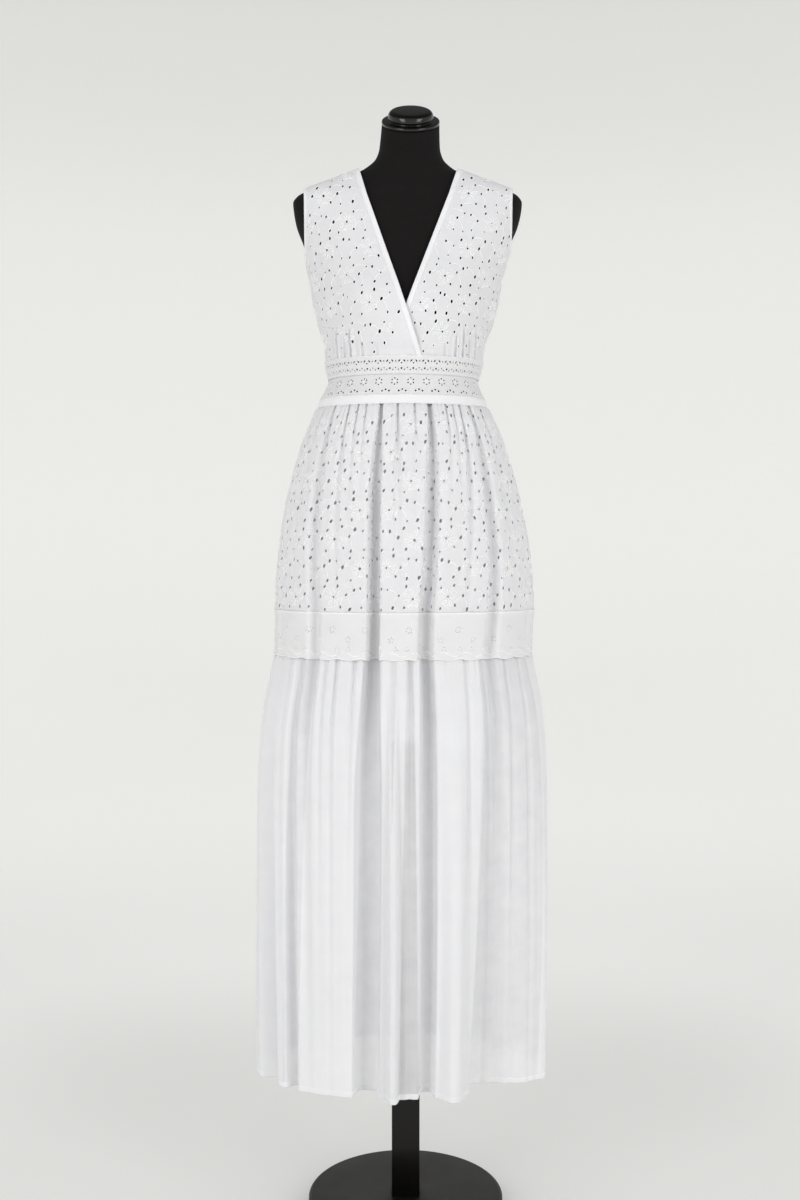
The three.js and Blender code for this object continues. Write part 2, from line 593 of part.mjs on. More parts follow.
// The form: rings of its sections, the ones in the neck slanting down to the front.
function makeTorso() {
  const segments = TORSO_SEGMENTS;
  const positions = [];
  const triangles = [];
  for (const { z } of TORSO) {
    const slant = Math.tan(toRadians(NECK_SLANT)) * smoothstep(z, NECK_SLANT_START_Z, NECK_TOP_Z);
    for (let i = 0; i < segments; i += 1) {
      const angle = (360 * i) / segments;
      const side = angle <= 180 ? "front" : "back";
      const point = ovalPoint(torso, side, angle <= 180 ? angle : 360 - angle, z);
      point.z += slant * point.y;
      positions.push(point);
    }
  }
  const last = TORSO.length - 1;
  for (let r = 0; r < last; r += 1) {
    for (let i = 0; i < segments; i += 1) {
      const next = (i + 1) % segments;
      const a = r * segments + i;
      const b = r * segments + next;
      triangles.push([a, b, b + segments], [a, b + segments, a + segments]);
    }
  }
  for (const [ring, isTop] of [[0, false], [last, true]]) {
    const { z } = TORSO[ring];
    const centre = positions.push(new THREE.Vector3(torso.middle(z), 0, z)) - 1;
    for (let i = 0; i < segments; i += 1) {
      const a = ring * segments + i;
      const b = ring * segments + ((i + 1) % segments);
      triangles.push(isTop ? [a, b, centre] : [b, a, centre]);
    }
  }
  return closedGeometry(positions, triangles);
}

function makeNeckCap() {
  const profile = [
    [0, 0],
    [CAP_FLANGE_RADIUS - CAP_FLANGE_BEVEL, 0],
    [CAP_FLANGE_RADIUS, CAP_FLANGE_BEVEL],
    [CAP_FLANGE_RADIUS, CAP_FLANGE_HEIGHT - CAP_FLANGE_BEVEL],
    [CAP_FLANGE_RADIUS - CAP_FLANGE_BEVEL, CAP_FLANGE_HEIGHT],
    [CAP_NECK_RADIUS, CAP_FLANGE_HEIGHT],
  ];
  for (const { inset, share } of CAP_DOME_CURVE) {
    profile.push([CAP_DOME_RADIUS - inset, CAP_FLANGE_HEIGHT + CAP_DOME_HEIGHT * share]);
  }
  profile.push([CAP_TOP_RADIUS, CAP_FLANGE_HEIGHT + CAP_DOME_HEIGHT]);
  profile.push([0, CAP_FLANGE_HEIGHT + CAP_DOME_HEIGHT]);
  const cap = turned(profile, CAP_SEGMENTS);
  cap.translate(0, 0, SEAM_GAP);
  cap.rotateX(toRadians(NECK_SLANT));
  return cap.translate(CAP_MIDDLE_X, 0, NECK_TOP_Z);
}

addNode("base", makeBase(), "stand");
addNode("post", makePost(), "stand");
addNode("torso", makeTorso(), "jersey");
addNode("neck_cap", makeNeckCap(), "lacquer");

// Bodice. On each half x is measured outwards from the shoulders' middle line.
const NECK_BEND_Z = 1600;
const FRONT_EDGES = {
  right: {
    sign: -1,
    lift: OVERLAP_LIFT,
    atTop: { x: 64.3, z: NECK_BEND_Z },
    atLow: { x: -20.2, z: BODICE_LOW_Z },
  },
  left: {
    sign: 1,
    lift: 0,
    atTop: { x: 62.3, z: NECK_BEND_Z },
    atLow: { x: -31.4, z: BODICE_LOW_Z },
  },
};

// How far from the middle line the V neck's edge is at a height.
function neckEdgeX(edge, z) {
  const { atTop, atLow } = edge;
  if (z > atTop.z) {
    return lerp(atTop.x, NECK_POINT.x, (z - atTop.z) / (NECK_POINT.z - atTop.z));
  }
  return lerp(atLow.x, atTop.x, (z - atLow.z) / (atTop.z - atLow.z));
}

// A point of the bodice's surface from x off the shoulders' middle line, at a height.
function bodiceStation(side, sign, x, z) {
  const halfWidth = bodice.halfWidth(z);
  const depth = side === "front" ? bodice.front(z) : bodice.back(z);
  const nearest = (Math.asin(HALF_SIDE_GAP / depth) * 180) / Math.PI;
  const fromMiddle = sign * x + SHOULDER_MIDDLE - bodice.middle(z);
  const cosine = clamp(-fromMiddle / halfWidth, -1, 1);
  const angle = clamp((Math.acos(cosine) * 180) / Math.PI, nearest, 180 - nearest);
  return station((a, h) => ovalPoint(bodice, side, a, h), side, angle, z);
}

// The armhole's edge, which runs out to the side seam under the arm.
const ARMHOLE_SPREAD_Z = 1590;
function outerEdgeX(sign, z) {
  const side = bodice.halfWidth(z) + sign * (bodice.middle(z) - SHOULDER_MIDDLE);
  const spread = smoothstep(z, ARMHOLE_SPREAD_Z, SHOULDER_TIP.z);
  return Math.min(side, lerp(ARMHOLE_HALF_WIDTH, SHOULDER_TIP.x, spread));
}

const BODICE_ROWS = [0, 0.025, 0.07, 0.14, 0.22, 0.31, 0.4, 0.49, 0.58, 0.67, 0.77, 0.88, 1];
const FRONT_COLUMNS = [0, 0.14, 0.28, 0.425, 0.47, 0.515, 0.56, 0.605, 0.65, 0.7, 0.85, 1];
const UNDERARM_SHARE = 0.41;

// A station of a front panel: q runs from the neck's edge to the armhole or side seam,
// t from the shoulder to the low edge.
function frontStation(edge, q, t) {
  const z = lerp(lerp(NECK_POINT.z, SHOULDER_TIP.z, q), BODICE_LOW_Z + SEAM_GAP, t);
  const neckZ = lerp(NECK_POINT.z, BODICE_LOW_Z + SEAM_GAP, t);
  const outerZ = lerp(SHOULDER_TIP.z, BODICE_LOW_Z + SEAM_GAP, t);
  const inner = neckEdgeX(edge, neckZ);
  const outer = outerEdgeX(edge.sign, outerZ);
  const innerTurn = Math.acos(clamp(inner / bodice.halfWidth(neckZ), -1, 1));
  const outerTurn = Math.acos(clamp(outer / bodice.halfWidth(outerZ), -1, 1));
  const evenX = bodice.halfWidth(z) * Math.cos(lerp(innerTurn, outerTurn, q));
  const x = lerp(lerp(inner, outer, q), evenX, smoothstep(t, 0, UNDERARM_SHARE));
  const made = bodiceStation("front", edge.sign, q === 1 ? outer : x, z);
  const tuck = BODICE_TUCKS.reduce((sum, row) => {
    const away = Math.abs(q - row.at) / row.halfWidth;
    return sum + (away < 1 ? row.depth * (1 - away) : 0);
  }, 0);
  const across = 1 - smoothstep(q, LAP_ACROSS.full, LAP_ACROSS.none);
  const lap = edge.lift * across * smoothstep(t, LAP_DOWN.none, LAP_DOWN.full);
  made.point.addScaledVector(made.normal, lap - tuck * smoothstep(t, TUCK_START, 1));
  return made;
}

const panelEyelets = eyeletIn((row, column) => row > 0 && (row + column) % 2 === 0);
for (const name of ["right", "left"]) {
  const edge = FRONT_EDGES[name];
  const rows = BODICE_ROWS.map((t) => FRONT_COLUMNS.map((q) => frontStation(edge, q, t)));
  addNode("bodice_front_" + name, clothWall(rows, { eyelet: panelEyelets }), "eyeletCloth");
}

// The back: q runs from -1 at the viewer's left side to 1, with the neckline in the middle.
const BACK_HALF_COLUMNS = [0, 0.17, 0.32, 0.42, 0.465, 0.48, 0.65, 0.83, 1];
const BACK_COLUMNS = [
  ...BACK_HALF_COLUMNS.slice(1)
    .map((q) => -q)
    .reverse(),
  ...BACK_HALF_COLUMNS,
];
const NECK_SHARE = NECK_POINT.x / SHOULDER_TIP.x;

function backTopZ(share) {
  if (share > NECK_SHARE) {
    return lerp(NECK_POINT.z, SHOULDER_TIP.z, (share - NECK_SHARE) / (1 - NECK_SHARE));
  }
  return lerp(BACK_NECK_Z, NECK_POINT.z, (share / NECK_SHARE) ** 2);
}

function backStation(q, t) {
  const share = Math.abs(q);
  const sign = q < 0 ? -1 : 1;
  const low = BODICE_LOW_Z + SEAM_GAP;
  const z = lerp(backTopZ(share), low, t);
  const outerZ = lerp(SHOULDER_TIP.z, low, t);
  const outer = outerEdgeX(sign, outerZ);
  const outerTurn = Math.acos(clamp(outer / bodice.halfWidth(outerZ), -1, 1));
  const evenX = bodice.halfWidth(z) * Math.cos(lerp(Math.PI / 2, outerTurn, share));
  const x = lerp(share * outer, evenX, smoothstep(t, 0, UNDERARM_SHARE));
  return bodiceStation("back", sign, share === 1 ? outer : x, z);
}

const backEyelets = eyeletIn((row, column) => row > 0 && (row + column) % 4 === 0);
const backRows = BODICE_ROWS.map((t) => BACK_COLUMNS.map((q) => backStation(q, t)));
addNode("bodice_back", clothWall(backRows, { eyelet: backEyelets }), "eyeletCloth");

// Neck bands lie along the neck's edge, armhole bands round the armhole.
// Three stations across a band of this width, from one edge of a panel towards another share.
const ACROSS_BAND = [0, 0.5, 1];
function alongPanel(stationAt, edge, width, t) {
  const start = stationAt(edge.from, t);
  const towards = stationAt(edge.to, t);
  const whole = start.point.distanceTo(towards.point);
  return ACROSS_BAND.map((share) =>
    stationAt(lerp(edge.from, edge.to, (share * width) / whole), t),
  );
}

const BAND_START = 0.004;
const NECK_GUIDE = { from: 0, to: 0.12 };
for (const name of ["right", "left"]) {
  const stationAt = (q, t) => frontStation(FRONT_EDGES[name], q, t);
  const rows = BODICE_ROWS.map((t) =>
    alongPanel(stationAt, NECK_GUIDE, NECK_BAND_WIDTH, Math.max(t, BAND_START)),
  );
  const band = clothWall(rows, { thickness: TAPE, lift: TAPE_LIFT });
  addNode("neck_band_front_" + name, band, "plainCloth");
}

// The back neck band: a strip along the top edge between the two neck points.
const BACK_NECK_SHARES = [-0.98, -0.85, -0.65, -0.4, -0.15, 0.15, 0.4, 0.65, 0.85, 0.98];
const BACK_NECK_GUIDE_T = 0.06;
const backNeckRows = BACK_NECK_SHARES.map((share) => {
  const q = share * NECK_SHARE;
  const top = backStation(q, BAND_START).point;
  const whole = top.distanceTo(backStation(q, BACK_NECK_GUIDE_T).point);
  return ACROSS_BAND.map((across) =>
    backStation(q, lerp(BAND_START, BACK_NECK_GUIDE_T, (across * NECK_BAND_WIDTH) / whole)),
  );
});
const backNeckBand = clothWall(backNeckRows, { thickness: TAPE, lift: TAPE_LIFT });
addNode("neck_band_back", backNeckBand, "plainCloth");

// Each armhole band is a closed loop: down the front's edge, under the arm and up the back's.
const ARMHOLE_ROWS = BODICE_ROWS.filter((t) => t < UNDERARM_SHARE);
const FRONT_ARMHOLE_GUIDE = { from: 1, to: 0.9 };
const BACK_ARMHOLE_GUIDE_Q = 0.86;
for (const [name, sign] of [["right", -1], ["left", 1]]) {
  const frontAt = (q, t) => frontStation(FRONT_EDGES[name], q, t);
  const backGuide = { from: sign, to: sign * BACK_ARMHOLE_GUIDE_Q };
  const down = ARMHOLE_ROWS.map((t) =>
    alongPanel(frontAt, FRONT_ARMHOLE_GUIDE, ARMHOLE_BAND_WIDTH, t),
  );
  const up = ARMHOLE_ROWS.map((t) => alongPanel(backStation, backGuide, ARMHOLE_BAND_WIDTH, t));
  const loop = [...down, ...up.reverse()];
  const band = clothWall(loop, { thickness: TAPE, lift: TAPE_LIFT, isLoop: true });
  addNode("armhole_band_" + name, band, "plainCloth");
}

// A narrow strip covers each shoulder seam between the neck and armhole bands.
const STRIP_SHARES = [0.14, 0.35, 0.6, 0.9];
for (const [name, sign] of [["right", -1], ["left", 1]]) {
  const rows = STRIP_SHARES.map((share) => {
    const x = SHOULDER_MIDDLE + sign * lerp(NECK_POINT.x, SHOULDER_TIP.x, share);
    const z = lerp(NECK_POINT.z, SHOULDER_TIP.z, share);
    return [-1, 1].map((towards) => ({
      point: new THREE.Vector3(x, (towards * SHOULDER_STRIP_WIDTH) / 2, z),
      normal: new THREE.Vector3(0, 0, 1),
    }));
  });
  const strip = clothWall(rows, { thickness: TAPE, lift: TAPE_LIFT });
  addNode("shoulder_strip_" + name, strip, "lace");
}

// Bands round the waist, then the skirt's tiers, each a front and a back.
const WAIST_COLUMNS = 18;
const WAIST_BANDS = [
  { name: "lace_trim", low: LACE_TRIM_LOW_Z, top: BODICE_LOW_Z, finish: "lace" },
  { name: "sheer_band", low: SHEER_BAND_LOW_Z, top: LACE_TRIM_LOW_Z, finish: "sheerCloth" },
  { name: "waistband", low: WAISTBAND_LOW_Z, top: SHEER_BAND_LOW_Z, finish: "plainCloth" },
];
const SIDES = ["front", "back"];

// The angle that leaves half the side seam's gap at a surface's edge.
const SIDE_ANGLE = 0.15;

for (const { name, low, top, finish } of WAIST_BANDS) {
  for (const side of SIDES) {
    const surface = (angle, z) => ovalPoint(bodice, side, angle, z);
    const rows = [top - SEAM_GAP / 2, low + SEAM_GAP / 2].map((z) =>
      Array.from({ length: WAIST_COLUMNS + 1 }, (_, i) =>
        station(surface, side, lerp(SIDE_ANGLE, 180 - SIDE_ANGLE, i / WAIST_COLUMNS), z),
      ),
    );
    addNode(name + "_" + side, clothWall(rows, {}), finish);
  }
}

const TIERS = [
  {
    name: "eyelet_tier",
    top: WAISTBAND_LOW_Z - SEAM_GAP,
    low: EYELET_TIER_LOW_Z + SEAM_GAP,
    rowCount: 7,
    folds: { front: EYELET_TIER_FRONT_FOLDS, back: EYELET_TIER_BACK_FOLDS },
    finish: "eyeletCloth",
    hasEyelets: true,
  },
  {
    name: "border",
    top: EYELET_TIER_LOW_Z - SEAM_GAP,
    low: BORDER_LOW_Z,
    rowCount: 2,
    folds: { front: BORDER_FRONT_FOLDS, back: BORDER_BACK_FOLDS },
    finish: "plainCloth",
    scallop: 3,
  },
  {
    name: "lower_tier",
    top: LOWER_TIER_TOP_Z,
    low: HEM_Z,
    rowCount: 5,
    folds: { front: LOWER_TIER_FRONT_FOLDS, back: LOWER_TIER_BACK_FOLDS },
    finish: "sheerCloth",
    tuckedIn: 7.5,
  },
];
const TUCKED_IN_SHARE = 0.1;

const TIER_EYELETS = {
  front: eyeletIn((row, column) => (row + column) % 2 === 0),
  back: eyeletIn((row, column) => (row + 2 * column) % 4 === 0),
};
for (const tier of TIERS) {
  for (const side of SIDES) {
    const folds = tier.folds[side];
    const surface = foldedSurface(side, folds, tier.top, tier.low);
    const lines = foldLines(folds, SIDE_ANGLE);
    const rows = [];
    for (let r = 0; r <= tier.rowCount; r += 1) {
      const t = r / tier.rowCount;
      const row = lines.map((line, i) => {
        const isPoint = tier.scallop && r === tier.rowCount && i % 2 === 1;
        const z = lerp(tier.top, tier.low, t) - (isPoint ? tier.scallop : 0);
        const made = station(surface, side, lerp(line.top, line.low, t), z);
        if (tier.tuckedIn) {
          const tucked = tier.tuckedIn * (1 - smoothstep(t, 0, TUCKED_IN_SHARE));
          made.point.addScaledVector(made.normal, -tucked);
        }
        return made;
      });
      rows.push(row);
    }
    const eyelet = tier.hasEyelets ? TIER_EYELETS[side] : null;
    addNode(tier.name + "_" + side, clothWall(rows, { eyelet }), tier.finish);
  }
}

// The lining
const LINING_COLUMNS = 13;
for (const side of SIDES) {
  const surface = (angle, z) => ovalPoint(lining, side, angle, z);
  const rows = LINING.map(({ z }) => z)
    .reverse()
    .map((z) =>
      Array.from({ length: LINING_COLUMNS + 1 }, (_, i) =>
        station(surface, side, lerp(SIDE_ANGLE, 180 - SIDE_ANGLE, i / LINING_COLUMNS), z),
      ),
    );
  addNode("lining_" + side, clothWall(rows, {}), "lining");
}

part.updateMatrixWorld(true);

export default part;
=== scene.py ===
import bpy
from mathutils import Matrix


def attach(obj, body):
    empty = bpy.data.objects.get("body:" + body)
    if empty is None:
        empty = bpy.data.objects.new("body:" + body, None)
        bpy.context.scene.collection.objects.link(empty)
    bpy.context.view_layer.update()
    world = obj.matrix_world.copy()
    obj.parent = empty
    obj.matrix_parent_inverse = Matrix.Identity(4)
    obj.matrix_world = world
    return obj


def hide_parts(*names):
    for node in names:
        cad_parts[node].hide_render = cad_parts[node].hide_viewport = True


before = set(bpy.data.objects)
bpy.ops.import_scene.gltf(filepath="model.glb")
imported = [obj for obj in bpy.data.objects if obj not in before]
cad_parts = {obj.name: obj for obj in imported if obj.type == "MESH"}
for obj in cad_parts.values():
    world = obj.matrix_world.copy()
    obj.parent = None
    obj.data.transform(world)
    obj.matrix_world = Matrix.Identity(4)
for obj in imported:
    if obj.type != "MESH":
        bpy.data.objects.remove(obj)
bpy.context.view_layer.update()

import copy
import math

import bpy
import numpy as np
from mathutils import Vector
from mathutils.geometry import delaunay_2d_cdt

# White broderie anglaise maxi dress on a black dress form. Sizes here are in millimetres
# and go to metres when a mesh is made. +Z is up and the dress faces -Y.
# Round the body an angle runs from 0 at the viewer's left side, over 90 at the middle, to 180.
mm = 0.001

seams = {  # heights of the seams round the dress
    "hem": 220,
    "liningHem": 756,
    "borderLow": 882,
    "lowerTierTop": 889,
    "eyeletTierLow": 953,
    "liningTop": 1268,
    "waistbandLow": 1272,
    "sheerBandLow": 1287.5,
    "laceTrimLow": 1318,
    "bodiceLow": 1347,
}
seamGap = 0.4
sideAngle = 0.06  # degrees left open at each side seam


# Colours are sRGB hex and go to Blender as linear light
def hexColour(code):
    parts = [int(code[i:i + 2], 16) / 255 for i in (1, 3, 5)]
    linear = [c / 12.92 if c <= 0.04045 else ((c + 0.055) / 1.055) ** 2.4 for c in parts]
    return (*linear, 1.0)


# Adds a node, sets its inputs or properties and links its inputs, by name or by number
def addNode(tree, kind, settings=None, links=None):
    made = tree.nodes.new(kind)
    for key, value in (settings or {}).items():
        if isinstance(key, int) or key in made.inputs:
            made.inputs[key].default_value = value
        else:
            setattr(made, key, value)
    for key, source in (links or {}).items():
        tree.links.new(source, made.inputs[key])
    return made


def newMaterial(name):
    material = bpy.data.materials.new(name)
    material.use_nodes = True
    material.node_tree.nodes.clear()
    return material, material.node_tree


# A wave texture's scale for stripes this many millimetres apart
def stripeScale(pitch):
    return math.pi / 10 / (pitch * mm)


threadWhite = "#FCFCFC"


# A woven cotton cloth. Thread pitches are the real ones times "coarser", since threads of
# a fifth of a millimetre are finer than a pixel. Light goes through from wall to wall:
# the inner side of each thin wall is left clear, so that the wall acts as one layer.
def wovenCotton(name, look):
    material, tree = newMaterial(name)
    flat = addNode(tree, "ShaderNodeUVMap", {"uv_map": "cloth"}).outputs["UV"]
    threads = []
    for direction in ("X", "Y"):
        pitch = look["threadPitch"] * look["coarser"]
        threads.append(addNode(
            tree, "ShaderNodeTexWave",
            {"bands_direction": direction, "Scale": stripeScale(pitch), "Distortion": 1.2,
             "Detail": 1.0, "Detail Scale": 0.6},
            {"Vector": flat}))
    weave = addNode(tree, "ShaderNodeMath", {"operation": "MULTIPLY"},
                    {0: threads[0].outputs["Fac"], 1: threads[1].outputs["Fac"]})
    slubs = []
    for scale in ((1 / 38, 1 / 1.9, 1), (1 / 1.9, 1 / 38, 1)):  # thick places in weft and in warp
        run = addNode(tree, "ShaderNodeMapping", {"Scale": tuple(s / mm for s in scale)},
                      {"Vector": flat})
        slubs.append(addNode(tree, "ShaderNodeTexNoise", {"Scale": 1.0, "Detail": 2.0},
                             {"Vector": run.outputs["Vector"]}))
    slub = addNode(tree, "ShaderNodeMath", {"operation": "ADD"},
                   {0: slubs[0].outputs["Fac"], 1: slubs[1].outputs["Fac"]})
    softness = addNode(tree, "ShaderNodeTexNoise", {"Scale": 1 / (34 * mm), "Detail": 3.0},
                       {"Vector": flat})
    fineBump = addNode(tree, "ShaderNodeBump",
                       {"Strength": look["weaveDepth"], "Distance": 0.12 * mm},
                       {"Height": weave.outputs["Value"]})
    slubBump = addNode(tree, "ShaderNodeBump",
                       {"Strength": look["slubDepth"], "Distance": 0.2 * mm},
                       {"Height": slub.outputs["Value"], "Normal": fineBump.outputs["Normal"]})
    ground = addNode(tree, "ShaderNodeMix",
                     {"data_type": "RGBA", 6: hexColour(look["shade"]), 7: hexColour(look["colour"])},
                     {0: softness.outputs["Fac"]})
    overcast = addNode(tree, "ShaderNodeAttribute", {"attribute_name": "overcast"})
    colour = addNode(tree, "ShaderNodeMix", {"data_type": "RGBA", 7: hexColour(threadWhite)},
                     {0: overcast.outputs["Fac"], 6: ground.outputs[2]})
    cloth = addNode(tree, "ShaderNodeBsdfPrincipled",
                    {"Roughness": look["roughness"], "IOR": 1.53, "Specular IOR Level": 0.3,
                     "Sheen Weight": look["sheen"], "Sheen Roughness": 0.6},
                    {"Base Color": colour.outputs[2], "Normal": slubBump.outputs["Normal"]})
    glow = addNode(tree, "ShaderNodeBsdfTranslucent", {},
                   {"Color": colour.outputs[2], "Normal": slubBump.outputs["Normal"]})
    body = addNode(tree, "ShaderNodeMixShader", {0: look["translucent"]},
                   {1: cloth.outputs[0], 2: glow.outputs[0]})
    # gaps between threads, uneven from place to place, and closed where the cloth is doubled
    gaps = addNode(tree, "ShaderNodeMapRange",
                   {"To Min": 1.3 * look["seeThrough"], "To Max": 0.7 * look["seeThrough"]},
                   {"Value": softness.outputs["Fac"]})
    doubled = addNode(tree, "ShaderNodeAttribute", {"attribute_name": "doubled"})
    single = addNode(tree, "ShaderNodeMath", {"operation": "SUBTRACT", 0: 1.0},
                     {1: doubled.outputs["Fac"]})
    clear = addNode(tree, "ShaderNodeMath", {"operation": "MULTIPLY"},
                    {0: gaps.outputs["Result"], 1: single.outputs["Value"]})
    wallSide = addNode(tree, "ShaderNodeNewGeometry")
    clearer = addNode(tree, "ShaderNodeMath", {"operation": "MAXIMUM"},
                      {0: clear.outputs["Value"], 1: wallSide.outputs["Backfacing"]})
    film = addNode(tree, "ShaderNodeBsdfTransparent")
    both = addNode(tree, "ShaderNodeMixShader", {},
                   {0: clearer.outputs["Value"], 1: body.outputs[0], 2: film.outputs[0]})
    addNode(tree, "ShaderNodeOutputMaterial", {}, {"Surface": both.outputs[0]})
    return material


# Cotton lawn, plain woven, bleached and embroidered: matt white with a soft grain
eyeletCotton = wovenCotton("cottonLawnEmbroidered", {
    "colour": "#F1F1F3", "shade": "#ECECEF", "roughness": 0.88, "sheen": 0.06,
    "threadPitch": 0.32, "coarser": 4, "weaveDepth": 0.35, "slubDepth": 0.3,
    "translucent": 0.26, "seeThrough": 0.04,
})
# The same lawn with a lining sewn behind it, for the bodice: less light goes through it
linedCotton = wovenCotton("cottonLawnLined", {
    "colour": "#E8E8EB", "shade": "#E3E3E6", "roughness": 0.88, "sheen": 0.06,
    "threadPitch": 0.32, "coarser": 4, "weaveDepth": 0.35, "slubDepth": 0.3,
    "translucent": 0.15, "seeThrough": 0.03,
})
# Cotton poplin, woven tight and pressed: the smoothest and least clear of the cloths
plainCotton = wovenCotton("cottonPoplinPressed", {
    "colour": "#F1F1F2", "shade": "#ECECEE", "roughness": 0.85, "sheen": 0.05,
    "threadPitch": 0.28, "coarser": 4, "weaveDepth": 0.3, "slubDepth": 0.25,
    "translucent": 0.14, "seeThrough": 0.03,
})
# The same poplin, a little rougher, for the border. Its darker colour is painted shade that tones down the
# border, which faces the lamps more squarely than the waistband
shadedPoplin = wovenCotton("cottonPoplinPaintedShade", {
    "colour": "#E8E8E9", "shade": "#E2E2E4", "roughness": 0.88, "sheen": 0.05,
    "threadPitch": 0.28, "coarser": 4, "weaveDepth": 0.3, "slubDepth": 0.3,
    "translucent": 0.14, "seeThrough": 0.04,
})
# Cotton voile, woven open from hard twisted yarn: dark things behind it show as grey
voile = wovenCotton("cottonVoileOpenWoven", {
    "colour": "#F3F3F5", "shade": "#EFEFF2", "roughness": 0.8, "sheen": 0.05,
    "threadPitch": 0.42, "coarser": 4, "weaveDepth": 0.3, "slubDepth": 0.5,
    "translucent": 0.27, "seeThrough": 0.24,
})
# Voile under dense embroidery, used for the sheer band at the waist
bandVoile = wovenCotton("cottonVoileEmbroidered", {
    "colour": "#F1F1F3", "shade": "#ECECEE", "roughness": 0.85, "sheen": 0.05,
    "threadPitch": 0.42, "coarser": 4, "weaveDepth": 0.4, "slubDepth": 0.3,
    "translucent": 0.2, "seeThrough": 0.07,
})
# Cotton muslin, thin and plain woven: the form shows through it as mid grey
liningCotton = wovenCotton("cottonMuslinLining", {
    "colour": "#ECECEE", "shade": "#E4E4E7", "roughness": 0.9, "sheen": 0.03,
    "threadPitch": 0.4, "coarser": 4, "weaveDepth": 0.3, "slubDepth": 0.4,
    "translucent": 0.25, "seeThrough": 0.14,
})


# Mercerised embroidery cotton laid in satin stitch: a little silkier than the cloth under it
def satinStitchCotton():
    material, tree = newMaterial("cottonThreadSatinStitched")
    place = addNode(tree, "ShaderNodeTexCoord").outputs["Object"]
    strands = addNode(tree, "ShaderNodeTexNoise", {"Scale": 1 / (0.9 * mm), "Detail": 2.0},
                      {"Vector": place})
    bump = addNode(tree, "ShaderNodeBump", {"Strength": 0.4, "Distance": 0.15 * mm},
                   {"Height": strands.outputs["Fac"]})
    colour = addNode(tree, "ShaderNodeMix",
                     {"data_type": "RGBA", 6: hexColour("#F6F6F6"), 7: hexColour(threadWhite)},
                     {0: strands.outputs["Fac"]})
    thread = addNode(tree, "ShaderNodeBsdfPrincipled",
                     {"Roughness": 0.62, "IOR": 1.53, "Sheen Weight": 0.1},
                     {"Base Color": colour.outputs[2], "Normal": bump.outputs["Normal"]})
    addNode(tree, "ShaderNodeOutputMaterial", {}, {"Surface": thread.outputs[0]})
    return material


# Cotton jersey, knitted and stretched over the form: flat black that drinks the light
def blackJersey():
    material, tree = newMaterial("cottonJerseyKnitted")
    place = addNode(tree, "ShaderNodeTexCoord").outputs["Object"]
    columns = addNode(tree, "ShaderNodeTexWave",
                      {"bands_direction": "X", "Scale": stripeScale(2.2), "Distortion": 2.0,
                       "Detail": 2.0, "Detail Scale": 2.0}, {"Vector": place})
    courses = addNode(tree, "ShaderNodeTexWave",
                      {"bands_direction": "Z", "Scale": stripeScale(1.8), "Distortion": 2.0},
                      {"Vector": place})
    knit = addNode(tree, "ShaderNodeMath", {"operation": "ADD"},
                   {0: columns.outputs["Fac"], 1: courses.outputs["Fac"]})
    bump = addNode(tree, "ShaderNodeBump", {"Strength": 0.5, "Distance": 0.15 * mm},
                   {"Height": knit.outputs["Value"]})
    lint = addNode(tree, "ShaderNodeTexNoise", {"Scale": 1 / (55 * mm), "Detail": 5.0},
                   {"Vector": place})
    colour = addNode(tree, "ShaderNodeMix",
                     {"data_type": "RGBA", 6: hexColour("#0E0C0C"), 7: hexColour("#151313")},
                     {0: lint.outputs["Fac"]})
    cloth = addNode(tree, "ShaderNodeBsdfPrincipled",
                    {"Roughness": 0.9, "IOR": 1.53, "Specular IOR Level": 0.15,
                     "Sheen Weight": 0.02, "Sheen Roughness": 0.5},
                    {"Base Color": colour.outputs[2], "Normal": bump.outputs["Normal"]})
    addNode(tree, "ShaderNodeOutputMaterial", {}, {"Surface": cloth.outputs[0]})
    return material


# Beech turned and sprayed with black lacquer: gloss on the cap, satin on post and base
def lacqueredBeech(name, look):
    material, tree = newMaterial(name)
    place = addNode(tree, "ShaderNodeTexCoord").outputs["Object"]
    peel = addNode(tree, "ShaderNodeTexNoise", {"Scale": 1 / (look["grain"] * mm), "Detail": 4.0},
                   {"Vector": place})
    wear = addNode(tree, "ShaderNodeTexNoise", {"Scale": 1 / (60 * mm), "Detail": 6.0},
                   {"Vector": place})
    roughness = addNode(tree, "ShaderNodeMapRange",
                        {"To Min": look["roughness"][0], "To Max": look["roughness"][1]},
                        {"Value": wear.outputs["Fac"]})
    colour = addNode(tree, "ShaderNodeMix",
                     {"data_type": "RGBA", 6: hexColour(look["shade"]), 7: hexColour(look["colour"])},
                     {0: wear.outputs["Fac"]})
    bump = addNode(tree, "ShaderNodeBump", {"Strength": look["peel"], "Distance": 0.1 * mm},
                   {"Height": peel.outputs["Fac"]})
    coat = addNode(tree, "ShaderNodeBsdfPrincipled",
                   {"IOR": 1.5, "Specular IOR Level": 0.28, "Coat Weight": look["coat"],
                    "Coat Roughness": 0.08},
                   {"Base Color": colour.outputs[2], "Roughness": roughness.outputs["Result"],
                    "Normal": bump.outputs["Normal"]})
    addNode(tree, "ShaderNodeOutputMaterial", {}, {"Surface": coat.outputs[0]})
    return material


thread = satinStitchCotton()
jersey = blackJersey()
glossLacquer = lacqueredBeech("beechTurnedGlossLacquered", {
    "colour": "#0B0A09", "shade": "#070707", "roughness": (0.1, 0.2), "grain": 2.5, "peel": 0.05,
    "coat": 0.4})
satinLacquer = lacqueredBeech("beechPlanedSatinLacquered", {
    "colour": "#100E0C", "shade": "#0A0909", "roughness": (0.42, 0.56), "grain": 1.5, "peel": 0.15,
    "coat": 0.0})
print("materials made")


